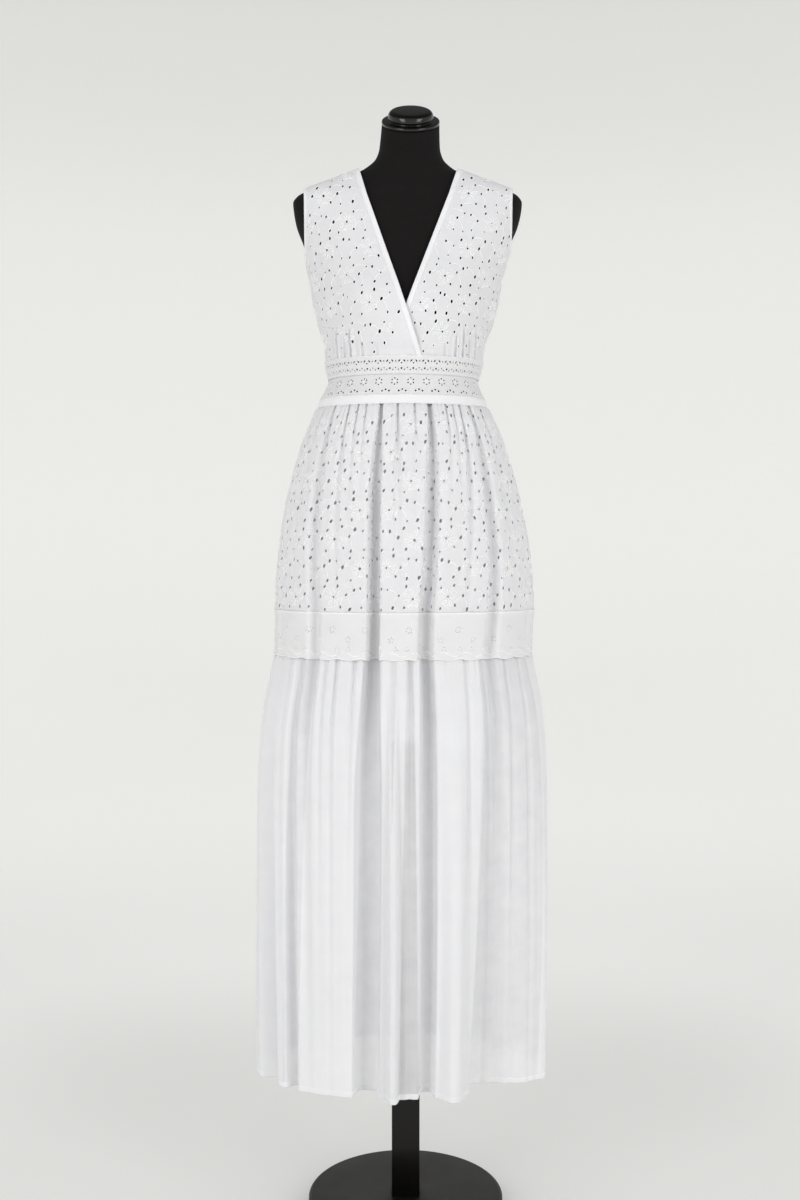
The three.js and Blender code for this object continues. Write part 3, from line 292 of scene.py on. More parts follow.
# A smooth curve through the points that never overshoots them
def smoothCurve(places, values):
    xs = np.array(places, float)
    ys = np.array(values, float)
    step = np.diff(ys) / np.diff(xs)
    before = np.concatenate([step[:1], step])
    after = np.concatenate([step, step[-1:]])
    turns = before * after <= 0
    total = np.where(turns, 1.0, before + after)
    slope = np.where(turns, 0.0, 2 * before * after / total)

    def at(x):
        x = np.clip(x, xs[0], xs[-1])
        i = np.clip(np.searchsorted(xs, x) - 1, 0, len(xs) - 2)
        span = xs[i + 1] - xs[i]
        t = (x - xs[i]) / span
        rise = ys[i + 1] - ys[i]
        bendLow = slope[i] * span - rise
        bendHigh = rise - slope[i + 1] * span
        return ys[i] + rise * t + t * (1 - t) * (bendLow * (1 - t) + bendHigh * t)
    return at


def smoothStep(x, low, high):
    t = np.clip((x - low) / (high - low), 0, 1)
    return t * t * (3 - 2 * t)


# Sections round the body as curves of height. Rows: height, half width, front, back, middle
def sections(rows):
    columns = list(zip(*rows))
    names = ("halfWidth", "front", "back", "middle")
    return {name: smoothCurve(columns[0], columns[i + 1]) for i, name in enumerate(names)}


formShape = sections([
    (900, 138, 80, 94, 0), (907, 152, 89, 106, 0), (930, 159, 94, 113, 0), (1070, 161, 94, 115, -2),
    (1140, 153, 92, 106, -3), (1205, 136, 89, 92, -4), (1260, 119, 87, 82, -4),
    (1310, 110, 86, 77, -3.5), (1350, 115, 92, 80, -2.5), (1382, 125, 109, 84, -1),
    (1415, 137, 120, 88, 0), (1450, 145, 117, 92, 0), (1490, 151, 106, 97, 0.5),
    (1530, 163, 94, 101, 1.5), (1565, 177, 84, 100, 2.5), (1590, 182, 75, 96, 3),
    (1602, 183, 69, 90, 3), (1612, 177, 62, 82, 3.5), (1620, 162, 57, 74, 4),
    (1633, 127, 52, 65, 4), (1645, 93, 49, 57, 4.5), (1655, 72, 47, 52, 5),
    (1672, 54, 45, 48, 6), (1690, 48.5, 44, 46, 6.5), (1729, 46, 44, 44, 8),
])
bodiceShape = sections([
    (1271, 135, 103, 95, -5), (1288, 131, 101, 92, -5), (1303, 123.5, 98.5, 88, -4.5),
    (1318, 118.5, 97, 86, -3.8), (1333, 122, 100, 88, -3), (1348, 125, 104, 90, -2.5),
    (1373, 128, 114, 92, -1.5), (1405, 139, 124.5, 95, -0.5), (1437, 147.5, 124, 98, 0),
    (1480, 155, 114, 103, 0.5), (1512, 163, 104.5, 106, 1), (1545, 174.5, 95, 107, 2),
    (1572, 182, 87, 105, 3), (1594, 188, 79, 101, 3), (1606, 188.5, 73.5, 95, 3),
    (1616, 182.5, 66.5, 87, 3.5), (1624, 166, 62, 79, 4), (1637, 131, 57, 70, 4),
    (1649, 97, 54, 62, 4), (1657, 75.5, 52, 57, 4), (1668, 62, 51, 54, 4),
])
skirtShape = sections([
    (218, 228.5, 130, 148, -9), (291, 230, 131, 149, -8), (451, 232, 133, 151, -6),
    (643, 231.5, 136, 152, -5), (749, 227, 138, 151, -4.5), (803, 221.5, 139, 149, -4),
    (856, 211, 140, 146, -4), (892, 205.5, 141, 147, -4), (957, 206.5, 143, 147, -2),
    (1011, 204, 143, 145, -2), (1064, 198, 141, 142, -2.5), (1117, 189, 136, 137, -3.5),
    (1171, 176, 128, 129, -4), (1224, 159.5, 117, 116, -4.2), (1251, 148, 110, 107, -4.6),
    (1273, 138, 104, 99, -5),
])
liningShape = sections([
    (756, 176, 105, 122, -3), (900, 172, 103, 121, -3), (1070, 168, 101, 120, -3),
    (1140, 160, 100, 113, -4), (1205, 143, 97, 99, -4), (1268, 124, 92, 87, -4.5),
])


def ovalPoint(shape, side, angle, z):
    turn = np.radians(angle)
    depth = -shape["front"](z) if side == "front" else shape["back"](z)
    x = shape["middle"](z) - shape["halfWidth"](z) * np.cos(turn)
    return np.stack([x, depth * np.sin(turn), z + 0 * turn], -1)


def ovalSurface(shape, side):
    return lambda angle, z: ovalPoint(shape, side, angle, z)


# Folds, a row each: angle at the top and at the low edge, depth at the top, half way and at
# the low edge, widths of the left and right flanks at the low edge, how flat the bottom is (2
# is round, more is flatter with steeper flanks), and the share of the width left at the top.
# A fold with negative depths stands out.
def foldedSurface(side, folds, top, low):
    def at(angle, z):
        point = ovalPoint(skirtShape, side, angle, z)
        t = np.clip((top - z) / (top - low), 0, 1)
        widening = smoothStep(t, 0, 0.35)
        depth = 0 * angle
        for angleTop, angleLow, depthTop, depthMiddle, depthLow, left, right, flat, topWidth in folds:
            centre = angleTop + (angleLow - angleTop) * t
            flank = np.where(angle > centre, right, left) * (topWidth + (1 - topWidth) * widening)
            away = np.minimum(np.abs(angle - centre) / flank, 1)
            depth = depth + np.interp(t, (0, 0.5, 1), (depthTop, depthMiddle, depthLow)) \
                * (1 - away ** flat) ** 2
        turn = np.radians(angle)
        isFront = side == "front"
        reach = skirtShape["front"](z) if isFront else skirtShape["back"](z)
        outX = -np.cos(turn) * reach
        outY = (-1 if isFront else 1) * np.sin(turn) * skirtShape["halfWidth"](z)
        length = np.hypot(outX, outY)
        point[..., 0] -= depth * outX / length
        point[..., 1] -= depth * outY / length
        return point
    return at


# Soft random waves from -1 to 1 on a lattice of whole numbers, the same in each run
def softNoise(x, y, seed):
    lattice = np.random.RandomState(seed).uniform(-1, 1, (131, 127))
    column = np.floor(x).astype(int)
    row = np.floor(y).astype(int)
    fx = smoothStep(x - column, 0, 1)
    fy = smoothStep(y - row, 0, 1)
    a = lattice[column % 131, row % 127]
    b = lattice[(column + 1) % 131, row % 127]
    c = lattice[column % 131, (row + 1) % 127]
    d = lattice[(column + 1) % 131, (row + 1) % 127]
    return (a * (1 - fx) + b * fx) * (1 - fy) + (c * (1 - fx) + d * fx) * fy


# A cloth is cut flat and then laid on its surface. Along a height, the flat distance across is
# the real length round the folds. An even cloth fills its width from side seam to side seam,
# and a fitted one measures it from the middle.
class ClothOn:
    def __init__(self, surface, side, low, top, fitted=False, heightCount=61):
        self.surface = surface
        self.side = side
        self.heights = np.linspace(low, top, heightCount)
        self.angles = np.linspace(sideAngle, 180 - sideAngle, 1441)
        angle, z = np.meshgrid(self.angles, self.heights)
        step = np.linalg.norm(np.diff(surface(angle, z), axis=1), axis=2)
        self.arcs = np.concatenate([np.zeros((heightCount, 1)), np.cumsum(step, axis=1)], axis=1)
        self.width = float(self.arcs[:, -1].mean())
        if fitted:
            self.arcs -= self.arcs[:, 720:721]
            self.across = np.linspace(self.arcs.min(), self.arcs.max(), 1441)
        else:
            self.arcs *= self.width / self.arcs[:, -1:]
            self.across = np.linspace(0, self.width, 1441)
        self.table = np.array([np.interp(self.across, arcs, self.angles) for arcs in self.arcs])

    def blend(self, table, columns, x, z):
        column = np.clip((x - columns[0]) / (columns[1] - columns[0]), 0, len(columns) - 1.001)
        low, high = self.heights[0], self.heights[-1]
        row = np.clip((z - low) / (high - low), 0, 1) * (len(self.heights) - 1.001)
        i, j = row.astype(int), column.astype(int)
        fi, fj = row - i, column - j
        lower = table[i, j] * (1 - fj) + table[i, j + 1] * fj
        upper = table[i + 1, j] * (1 - fj) + table[i + 1, j + 1] * fj
        return lower * (1 - fi) + upper * fi

    def angleAt(self, x, z):
        return self.blend(self.table, self.across, x, z)

    def arcAt(self, angle, z):
        return self.blend(self.arcs, self.angles, angle, z)

    # Points on the surface, moved out by relief
    def lay(self, flat, relief):
        x, z = flat[:, 0], flat[:, 1]
        small = 0.4
        middle = self.surface(self.angleAt(x, z), z)
        across = (self.surface(self.angleAt(x + small, z), z)
                  - self.surface(self.angleAt(x - small, z), z))
        up = (self.surface(self.angleAt(x, z + small), z + small)
              - self.surface(self.angleAt(x, z - small), z - small))
        normal = np.cross(across, up)
        normal /= np.maximum(np.linalg.norm(normal, axis=1, keepdims=True), 1e-9)
        if self.side == "back":
            normal = -normal
        return middle + normal * np.asarray(relief)[:, None]


def resample(line, step):
    line = np.asarray(line, float)
    length = np.concatenate([[0], np.cumsum(np.linalg.norm(np.diff(line, axis=0), axis=1))])
    count = max(2, int(round(length[-1] / step)) + 1)
    at = np.linspace(0, length[-1], count)
    return np.stack([np.interp(at, length, line[:, i]) for i in range(line.shape[1])], -1)


# Joins lines end to end to a closed outline, each resampled at the step
def closedOutline(lines, step):
    return np.concatenate([resample(line, step)[:-1] for line in lines])


def insideOutline(points, outline):
    nextOne = np.roll(outline, -1, axis=0)
    x, y = points[:, 0:1], points[:, 1:2]
    crosses = (outline[:, 1] > y) != (nextOne[:, 1] > y)
    rise = np.where(nextOne[:, 1] == outline[:, 1], 1e-9, nextOne[:, 1] - outline[:, 1])
    at = outline[:, 0] + (y - outline[:, 1]) * (nextOne[:, 0] - outline[:, 0]) / rise
    return (crosses & (x < at)).sum(axis=1) % 2 == 1


def nearOutline(points, outline):
    nextOne = np.roll(outline, -1, axis=0)
    edge = nextOne - outline
    nearest = np.full(len(points), 1e9)
    for start in range(0, len(points), 2000):
        rel = points[start:start + 2000, None, :] - outline[None]
        share = np.clip((rel * edge).sum(2) / np.maximum((edge * edge).sum(1), 1e-9), 0, 1)
        gap = np.linalg.norm(rel - share[..., None] * edge, axis=2).min(axis=1)
        nearest[start:start + 2000] = gap
    return nearest


# Cuts a flat piece of cloth with holes, and gives its points, their relief and its triangles.
# Where it is gathered, in the band (low, high, spacing), its points lie closer.
# A hole is (x, z, half width, half height, lean to the right). Round each hole stand rings of
# points: (distance out from the hole's edge, relief).
overcastRings = [(0.0, 0.1), (0.6, 0.5), (1.4, 0.0)]
overcastFrom = 0.05  # a point that stands out more than this is overcast with thread


def cutCloth(outline, holes, spacing, rings=overcastRings, sides=9, band=(0, 0, 1)):
    low, high = outline.min(axis=0), outline.max(axis=0)
    grid = []
    z = low[1]
    while z < high[1]:
        isFine = band[0] <= z <= band[1]
        across, up = (band[2], 1.7 * band[2]) if isFine else (spacing, spacing)
        z += up
        xs = np.arange(low[0] + across * (0.25 + 0.5 * (len(grid) % 2)), high[0], across)
        grid.append(np.stack([xs, np.full(len(xs), z)], -1))
    grid = np.concatenate(grid)
    grid = grid[insideOutline(grid, outline)]
    grid = grid[nearOutline(grid, outline) > 1.1]
    if len(holes):
        places = np.array([hole[:2] for hole in holes])
        reach = np.array([max(hole[2], hole[3]) for hole in holes]) + rings[-1][0] + 0.7
        keep = np.ones(len(grid), bool)
        for start in range(0, len(grid), 2000):
            away = np.linalg.norm(grid[start:start + 2000, None, :] - places[None], axis=2)
            keep[start:start + 2000] = (away > reach).all(axis=1)
        grid = grid[keep]
    points = [outline, grid]
    relief = [np.zeros(len(outline)), np.zeros(len(grid))]
    owner = [np.full(len(outline), -1), np.full(len(grid), -2)]
    count = len(outline) + len(grid)
    edges = [(i, (i + 1) % len(outline)) for i in range(len(outline))]
    turn = np.arange(sides) * 2 * math.pi / sides
    for number, (x, z, halfWidth, halfHeight, lean) in enumerate(holes):
        c, s = math.cos(math.radians(lean)), math.sin(math.radians(lean))
        for r, (out, height) in enumerate(rings):
            u = (halfWidth + out) * np.cos(turn + 0.3 * r)
            v = (halfHeight + out) * np.sin(turn + 0.3 * r)
            points.append(np.stack([x + u * c + v * s, z - u * s + v * c], -1))
            relief.append(np.full(sides, height))
            owner.append(np.full(sides, number if r == 0 else -2))
            if r == 0:
                edges += [(count + i, count + (i + 1) % sides) for i in range(sides)]
            count += sides
    points = np.concatenate(points)
    relief = np.concatenate(relief)
    owner = np.concatenate(owner)
    made = delaunay_2d_cdt([Vector(p) for p in points.tolist()], edges, [], 0, 1e-5, True)
    verts, _, faces, origins = made[0], made[1], made[2], made[3]
    origin = np.array([o[0] if o else -1 for o in origins])
    faces = origin[np.array(faces)]
    faces = faces[(faces >= 0).all(axis=1)]
    owners = owner[faces]
    isHole = (owners[:, 0] >= 0) & (owners[:, 0] == owners[:, 1]) & (owners[:, 1] == owners[:, 2])
    faces = faces[~isHole]
    owners = owners[~isHole]
    onEdge = (owners == -1).all(axis=1)
    centres = points[faces].mean(axis=1)
    drop = np.zeros(len(faces), bool)
    drop[onEdge] = ~insideOutline(centres[onEdge], outline)
    return points, relief, faces[~drop]


# A grid of points between two edges, for cloth that has no holes
def evenCloth(width, heights, columnCount):
    x = np.linspace(0, width, columnCount + 1)
    flat = np.stack(np.meshgrid(x, heights), -1).reshape(-1, 2)
    n = columnCount + 1
    a = (np.arange(len(heights) - 1)[:, None] * n + np.arange(columnCount)[None]).ravel()
    return flat, np.stack([a, a + n, a + n + 1, a + 1], -1)


# Quads between rows of points, each row a ring or an open line
def rowFaces(rowCount, count, isRing=True):
    faces = []
    for row in range(rowCount - 1):
        for i in range(count if isRing else count - 1):
            a, b = row * count + i, row * count + (i + 1) % count
            faces.append([a, b, b + count, a + count])
    return faces


# Flat faces that close the lowest and the highest ring
def endFaces(rowCount, count):
    return [list(range(count))[::-1], [(rowCount - 1) * count + i for i in range(count)]]


# A piece of cloth also keeps its flat pattern as "cloth", where it is doubled and where overcast
def newPiece(name, points, faces, material, flat=None, doubled=None, overcast=None):
    mesh = bpy.data.meshes.new(name)
    mesh.from_pydata((np.asarray(points) * mm).tolist(), [], np.asarray(faces).tolist()
                     if not isinstance(faces, list) else faces)
    mesh.polygons.foreach_set("use_smooth", [True] * len(mesh.polygons))
    if flat is not None:
        corner = np.empty(len(mesh.loops), np.int32)
        mesh.loops.foreach_get("vertex_index", corner)
        layer = mesh.uv_layers.new(name="cloth")
        layer.data.foreach_set("uv", (flat[corner] * mm).astype(np.float32).ravel())
        for label, share in (("doubled", doubled), ("overcast", overcast)):
            share = np.zeros(len(points)) if share is None else share
            attribute = mesh.attributes.new(label, "FLOAT", "POINT")
            attribute.data.foreach_set("value", share.astype(np.float32))
    mesh.materials.append(material)
    made = bpy.data.objects.new(name, mesh)
    bpy.context.scene.collection.objects.link(made)
    return made


def thicken(piece, thickness):
    wall = piece.modifiers.new("thickness", "SOLIDIFY")
    wall.thickness = thickness * mm
    wall.offset = 0


def place(piece, nodes, slot):
    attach(piece, "root")
    if nodes:
        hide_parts(*nodes)
    return piece


# Faces seen from outside turn the other way on the back
def outward(faces, side):
    return faces if side == "front" else faces[:, ::-1]


# Threads raised on a cloth: each flat line becomes a low ridge of three sides
def raisedThreads(name, cloth, lines, halfWidth, height, base):
    points, relief, faces = [], [], []
    count = 0
    for line in lines:
        line = np.asarray(line, float)
        along = np.gradient(line, axis=0)
        along /= np.maximum(np.linalg.norm(along, axis=1, keepdims=True), 1e-9)
        out = np.stack([-along[:, 1], along[:, 0]], -1) * halfWidth
        n = len(line)
        points += [line - out, line, line + out]
        relief += [np.full(n, base), np.full(n, base + height), np.full(n, base)]
        a = count + np.arange(n - 1)
        for k in range(3):
            p, q = a + k * n, a + ((k + 1) % 3) * n
            faces.append(np.stack([p, p + 1, q], -1))
            faces.append(np.stack([p + 1, q + 1, q], -1))
        faces.append(np.array([[count, count + n, count + 2 * n],
                               [count + n - 1, count + 3 * n - 1, count + 2 * n - 1]]))
        count += 3 * n
    flat = np.concatenate(points)
    laid = cloth.lay(flat, np.concatenate(relief) + cloth.extra(flat))
    faces = np.concatenate(faces)
    return newPiece(name, laid, outward(faces, cloth.side)[:, ::-1], thread)


# Short stitches in a row along a flat line
def stitches(line, pitch, length):
    dense = resample(line, pitch)
    ahead = np.diff(dense, axis=0)
    ahead /= np.linalg.norm(ahead, axis=1, keepdims=True)
    return [np.array([p, p + a * length]) for p, a in zip(dense[:-1], ahead)]


# Camera, light and floor
view = {
    "place": (-9, -2240, 1056), "lens": 42,
    "shiftDown": 55 / 1200,  # the level camera's frame reaches lower than its axis
}
camera = bpy.data.objects.new("camera", bpy.data.cameras.new("camera"))
camera.location = [c * mm for c in view["place"]]
camera.rotation_euler = (math.radians(90), 0, 0)
camera.data.lens = view["lens"]
camera.data.shift_y = -view["shiftDown"]
bpy.context.scene.collection.objects.link(camera)
bpy.context.scene.camera = camera
bpy.context.scene.view_settings.view_transform = "Standard"

# Two large soft boxes in front, and one overhead and a weak one behind, both left out of the gloss
lights = [
    {"name": "softBoxLeft", "place": (-1.9, -2.3, 1.55), "aim": (0, 0, 0.95),
     "size": (1.2, 2.5), "power": 34.5, "shine": True},
    {"name": "softBoxRight", "place": (2.0, -2.3, 1.55), "aim": (0, 0, 0.95),
     "size": (1.2, 2.5), "power": 35, "shine": True},
    {"name": "topBox", "place": (0, 0.2, 3.9), "aim": (0, 0.2, 0),
     "size": (3.0, 3.0), "power": 30, "shine": False},
    {"name": "backBox", "place": (0, 3.0, 2.6), "aim": (0, 0, 1.1),
     "size": (3.0, 1.6), "power": 14, "shine": False},
]
for setting in lights:
    lamp = bpy.data.lights.new(setting["name"], "AREA")
    lamp.shape = "RECTANGLE"
    lamp.size, lamp.size_y = setting["size"]
    lamp.energy = setting["power"]
    box = bpy.data.objects.new(setting["name"], lamp)
    box.location = setting["place"]
    facing = Vector(setting["aim"]) - Vector(setting["place"])
    box.rotation_euler = facing.to_track_quat("-Z", "Y").to_euler()
    box.visible_camera = False
    box.visible_glossy = setting["shine"]
    bpy.context.scene.collection.objects.link(box)

world = bpy.data.worlds.new("studio")
world.use_nodes = True
world.node_tree.nodes["Background"].inputs["Color"].default_value = hexColour("#F8F8F7")
world.node_tree.nodes["Background"].inputs["Strength"].default_value = 0.12
bpy.context.scene.world = world

cove = {
    "floorRadius": 3.0, "wallRadius": 6.0, "wallHeight": 5.6, "paper": "#BFBFBD", "light": "#FFFFFD",
    # painted light: how brightly the paper glows by itself, as (distance from the middle plus height,
    # strength)
    "glow": [(0.0, 0.25), (0.6, 0.28), (1.5, 0.38), (3.5, 0.46),
             (6.2, 0.5), (8.0, 0.5), (9.6, 0.45), (11.6, 0.34)],
}


# A round paper cove: flat floor that sweeps up into the wall, open at the top. Its paper glows with painted
# light, dimmer on the floor and brighter up the wall.
def makeCove():
    profile = [(0.001, 0), (cove["floorRadius"], 0)]
    sweep = cove["wallRadius"] - cove["floorRadius"]
    for i in range(1, 17):
        turn = math.pi / 2 * i / 16
        profile.append((cove["floorRadius"] + sweep * math.sin(turn),
                        cove["wallHeight"] * (1 - math.cos(turn))))
    count = 64
    points = []
    for radius, z in profile:
        for i in range(count):
            turn = 2 * math.pi * i / count
            points.append((radius * math.cos(turn) / mm, radius * math.sin(turn) / mm, z / mm))
    faces = rowFaces(len(profile), count) + [list(range(count))]
    material, tree = newMaterial("backdropPaperPaintedGlow")
    place = addNode(tree, "ShaderNodeTexCoord").outputs["Object"]
    height = addNode(tree, "ShaderNodeSeparateXYZ", {}, {"Vector": place}).outputs["Z"]
    level = addNode(tree, "ShaderNodeMapping", {"Scale": (1, 1, 0)}, {"Vector": place})
    radius = addNode(tree, "ShaderNodeVectorMath", {"operation": "LENGTH"},
                     {0: level.outputs["Vector"]})
    along = addNode(tree, "ShaderNodeMath", {"operation": "ADD"},
                    {0: radius.outputs["Value"], 1: height})
    reach = cove["wallRadius"] + cove["wallHeight"]
    share = addNode(tree, "ShaderNodeMath", {"operation": "DIVIDE", 1: reach},
                    {0: along.outputs["Value"]})
    glow = addNode(tree, "ShaderNodeValToRGB", {}, {"Fac": share.outputs["Value"]})
    ramp = glow.color_ramp
    ramp.interpolation = "EASE"
    for number, (at, strength) in enumerate(cove["glow"]):
        stop = ramp.elements[number] if number < 2 else ramp.elements.new(at / reach)
        stop.position = at / reach
        stop.color = (strength, strength, strength, 1)
    paper = addNode(tree, "ShaderNodeBsdfPrincipled",
                    {"Base Color": hexColour(cove["paper"]), "Roughness": 0.9,
                     "Emission Color": hexColour(cove["light"])},
                    {"Emission Strength": glow.outputs["Color"]})
    addNode(tree, "ShaderNodeOutputMaterial", {}, {"Surface": paper.outputs[0]})
    floor = newPiece("backdropFloor", points, faces, material)


makeCove()
print("camera, lights and floor made")


# Dress form and stand
form = {"segments": 120, "neckSlant": 33, "slantFrom": 1668, "neckTop": 1729}


def makeForm():
    heights = np.concatenate([
        [900, 901.5, 904, 907, 912, 920], np.arange(930, 1370, 10), np.arange(1370, 1570, 6),
        np.arange(1570, 1700, 2.5), np.linspace(1700, form["neckTop"], 7)])
    count = form["segments"]
    half = count // 2
    steepness = math.tan(math.radians(form["neckSlant"]))
    rings = []
    for z in heights:
        level = np.full(half, z)
        front = ovalPoint(formShape, "front", np.linspace(0, 180, half + 1)[:-1], level)
        back = ovalPoint(formShape, "back", np.linspace(180, 0, half + 1)[:-1], level)
        ring = np.concatenate([front, back])
        slant = steepness * smoothStep(z, form["slantFrom"], form["neckTop"])
        ring[:, 2] += slant * ring[:, 1]
        rings.append(ring)
    faces = rowFaces(len(heights), count) + endFaces(len(heights), count)
    return newPiece("dressForm", np.concatenate(rings), faces, jersey)


# A turned piece from a closed profile of (radius, height)
def turnedPiece(name, profile, count, material):
    points = []
    for radius, z in profile:
        for i in range(count):
            turn = 2 * math.pi * i / count
            points.append((radius * math.cos(turn), radius * math.sin(turn), z))
    faces = rowFaces(len(profile), count) + endFaces(len(profile), count)
    return newPiece(name, points, faces, material)


def arc(centre, radius, fromTurn, toTurn, steps):
    turns = [math.radians(fromTurn + (toTurn - fromTurn) * i / steps) for i in range(steps + 1)]
    return [(centre[0] + radius * math.cos(t), centre[1] + radius * math.sin(t)) for t in turns]


cap = {"flangeRadius": 46.5, "flangeHeight": 6, "neckRadius": 33, "domeRadius": 36.5, "domeHeight": 16,
       "topRadius": 25, "middle": (8, 0, 1729), "slant": 33, "gap": 0.4}


def makeNeckCap():
    flange, low = cap["flangeRadius"], cap["flangeHeight"]
    dome, height = cap["domeRadius"], cap["domeHeight"]
    profile = [(flange - 3, 0)]
    profile += arc((flange - 2, 2), 2, -90, 0, 5)
    profile += arc((flange - 2, low - 2), 2, 0, 90, 5)
    profile += [(cap["neckRadius"] + 1.5, low), (cap["neckRadius"] + 0.3, low + 0.4)]
    profile += arc((dome - 3, low + 5), 3, -55, 0, 4)
    profile += arc((dome - 10, low + height - 10), 10, 0, 80, 10)
    profile += [(cap["topRadius"] - 1, low + height - 0.1), (cap["topRadius"] - 2.2, low + height)]
    piece = turnedPiece("neckCap", profile, 96, glossLacquer)
    points = np.empty(len(piece.data.vertices) * 3)
    piece.data.vertices.foreach_get("co", points)
    points = points.reshape(-1, 3) / mm
    points[:, 2] += cap["gap"]
    c, s = math.cos(math.radians(cap["slant"])), math.sin(math.radians(cap["slant"]))
    y, z = points[:, 1].copy(), points[:, 2].copy()
    points[:, 1], points[:, 2] = y * c - z * s, y * s + z * c
    points += np.array(cap["middle"])
    piece.data.vertices.foreach_set("co", (points * mm).ravel())
    return piece


base = {"radius": 154.5, "height": 24, "edge": 7, "foot": 1.5, "grooveDepth": 3, "groove": (9, 12)}


def makeBase():
    radius, height = base["radius"], base["height"]
    low, high = base["groove"]
    inner = radius - base["grooveDepth"]
    profile = [(radius - 6, 0)]
    profile += arc((radius - base["foot"], base["foot"]), base["foot"], -90, 0, 4)
    chamfer = 0.6
    profile += [(radius, low - chamfer), (radius - chamfer, low), (inner, low),
                (inner, high), (radius - chamfer, high), (radius, high + chamfer)]
    profile += arc((radius - base["edge"], height - base["edge"]), base["edge"], 0, 90, 8)[1:]
    profile += [(radius - 40, height), (30, height)]
    return turnedPiece("standBase", profile, 128, satinLacquer)


post = {"width": 44, "bevel": 1.6, "low": 24.4, "top": 899.6, "rings": 12}


def makePost():
    half, bevel = post["width"] / 2, post["bevel"]
    loop = []
    for turn, (sx, sy) in zip((0, 90, 180, 270), ((1, 1), (-1, 1), (-1, -1), (1, -1))):
        loop += arc((sx * (half - bevel), sy * (half - bevel)), bevel, turn, turn + 90, 4)
    rings = post["rings"]
    points = [(x, y, z) for z in np.linspace(post["low"], post["top"], rings) for x, y in loop]
    faces = rowFaces(rings, len(loop)) + endFaces(rings, len(loop))
    return newPiece("standPost", points, faces, satinLacquer)


formPiece = place(makeForm(), ["torso"], "black_jersey")
place(makeNeckCap(), ["neck_cap"], "black_lacquer")
place(makeBase(), ["base"], "black_wood")
place(makePost(), ["post"], "black_wood")
print("form and stand made")


# Broderie anglaise: a brick repeat of one daisy and ten leaf eyelets. Each eyelet is
# (across, up, lean, half width, half height); the first is the daisy's eye.
broderie = {
    "step": (76, 44), "shift": 38, "scatter": 2.2, "leanScatter": 11, "sizeScatter": 0.3,
    "eyelets": [
        (0, 0, 10, 1.7, 2.0),
        (-31, -14, 24, 1.7, 2.8), (-12, -17, 12, 1.5, 2.3), (12, -13, -8, 1.7, 2.6),
        (28, -17, 20, 1.6, 2.8),
        (-22, 1, 16, 1.8, 2.9), (21, 3, 22, 1.8, 2.9),
        (-35, 12, 12, 1.5, 2.5), (-12, 15, 24, 1.7, 2.8), (9, 17, 8, 1.6, 2.6), (31, 13, 16, 1.7, 2.8),
    ],
    "petals": 7, "petalFrom": 3.6, "petalTo": 14, "petalWidth": 5.6,
    # stems from one eyelet to another, and how far they bend
    "stems": [(1, 5, 3), (5, 8, -3), (3, 6, 3), (6, 10, -3), (2, 3, 2.5), (7, 5, 2), (9, 10, 3),
              (4, 6, -2.5)],
    "thread": (0.42, 0.5, 0.2),  # half width, height, and how far its foot stands off the cloth
}


# Spreads the repeat over a piece: eyelets that fit inside the outline, and threads between
def spreadBroderie(outline, seed, margin=2.6, phase=(0, 0), scale=1.0):
    chance = np.random.RandomState(seed)
    low, high = outline.min(axis=0), outline.max(axis=0)
    stepX, stepZ = broderie["step"]
    eyelets, lines = [], []
    rows = range(int(low[1] // stepZ) - 1, int(high[1] // stepZ) + 2)
    columns = range(int(low[0] // stepX) - 1, int(high[0] // stepX) + 2)
    for row in rows:
        for column in columns:
            centre = np.array([column * stepX + (broderie["shift"] if row % 2 else 0) + phase[0],
                               row * stepZ + phase[1]])
            spots = []
            for x, z, lean, halfWidth, halfHeight in broderie["eyelets"]:
                move = chance.uniform(-1, 1, 4)
                spot = centre + (x, z) + move[:2] * broderie["scatter"]
                size = scale * (1 + broderie["sizeScatter"] * move[2])
                spots.append((spot[0], spot[1], halfWidth * size, halfHeight * size,
                              lean + broderie["leanScatter"] * move[3]))
            eyelets += spots
            turnBy = chance.uniform(0, 60)
            eye = np.array(spots[0][:2])
            for petal in range(broderie["petals"]):
                turn = math.radians(turnBy + petal * 360 / broderie["petals"])
                t = np.linspace(0, 1, 9)
                swell = np.sin(t * math.pi)
                inner, outer = broderie["petalFrom"], broderie["petalTo"]
                reach = inner + (outer - inner) * swell
                side = -broderie["petalWidth"] / 2 * np.sin((t - 0.5) * 2 * math.pi) * swell ** 0.5
                ahead = np.array([math.cos(turn), math.sin(turn)])
                beside = np.array([-ahead[1], ahead[0]])
                lines.append(eye + reach[:, None] * ahead + side[:, None] * beside)
            for start, end, bulge in broderie["stems"]:
                a, b = np.array(spots[start][:2]), np.array(spots[end][:2])
                t = np.linspace(0, 1, 8)[:, None]
                across = np.array([-(b - a)[1], (b - a)[0]]) / np.linalg.norm(b - a)
                curve = a + (b - a) * t + across * bulge * np.sin(t * math.pi)
                lines.append(curve[1:-1])
    spots = np.array(eyelets)
    fits = insideOutline(spots[:, :2], outline)
    near = np.full(len(spots), 0.0)
    near[fits] = nearOutline(spots[fits, :2], outline)
    fits &= near > spots[:, 3] + margin
    eyelets = [tuple(spot) for spot in spots[fits]]
    kept = []
    for line in lines:
        if insideOutline(line, outline).all() and nearOutline(line, outline).min() > 1.5:
            kept.append(line)
    return eyelets, kept


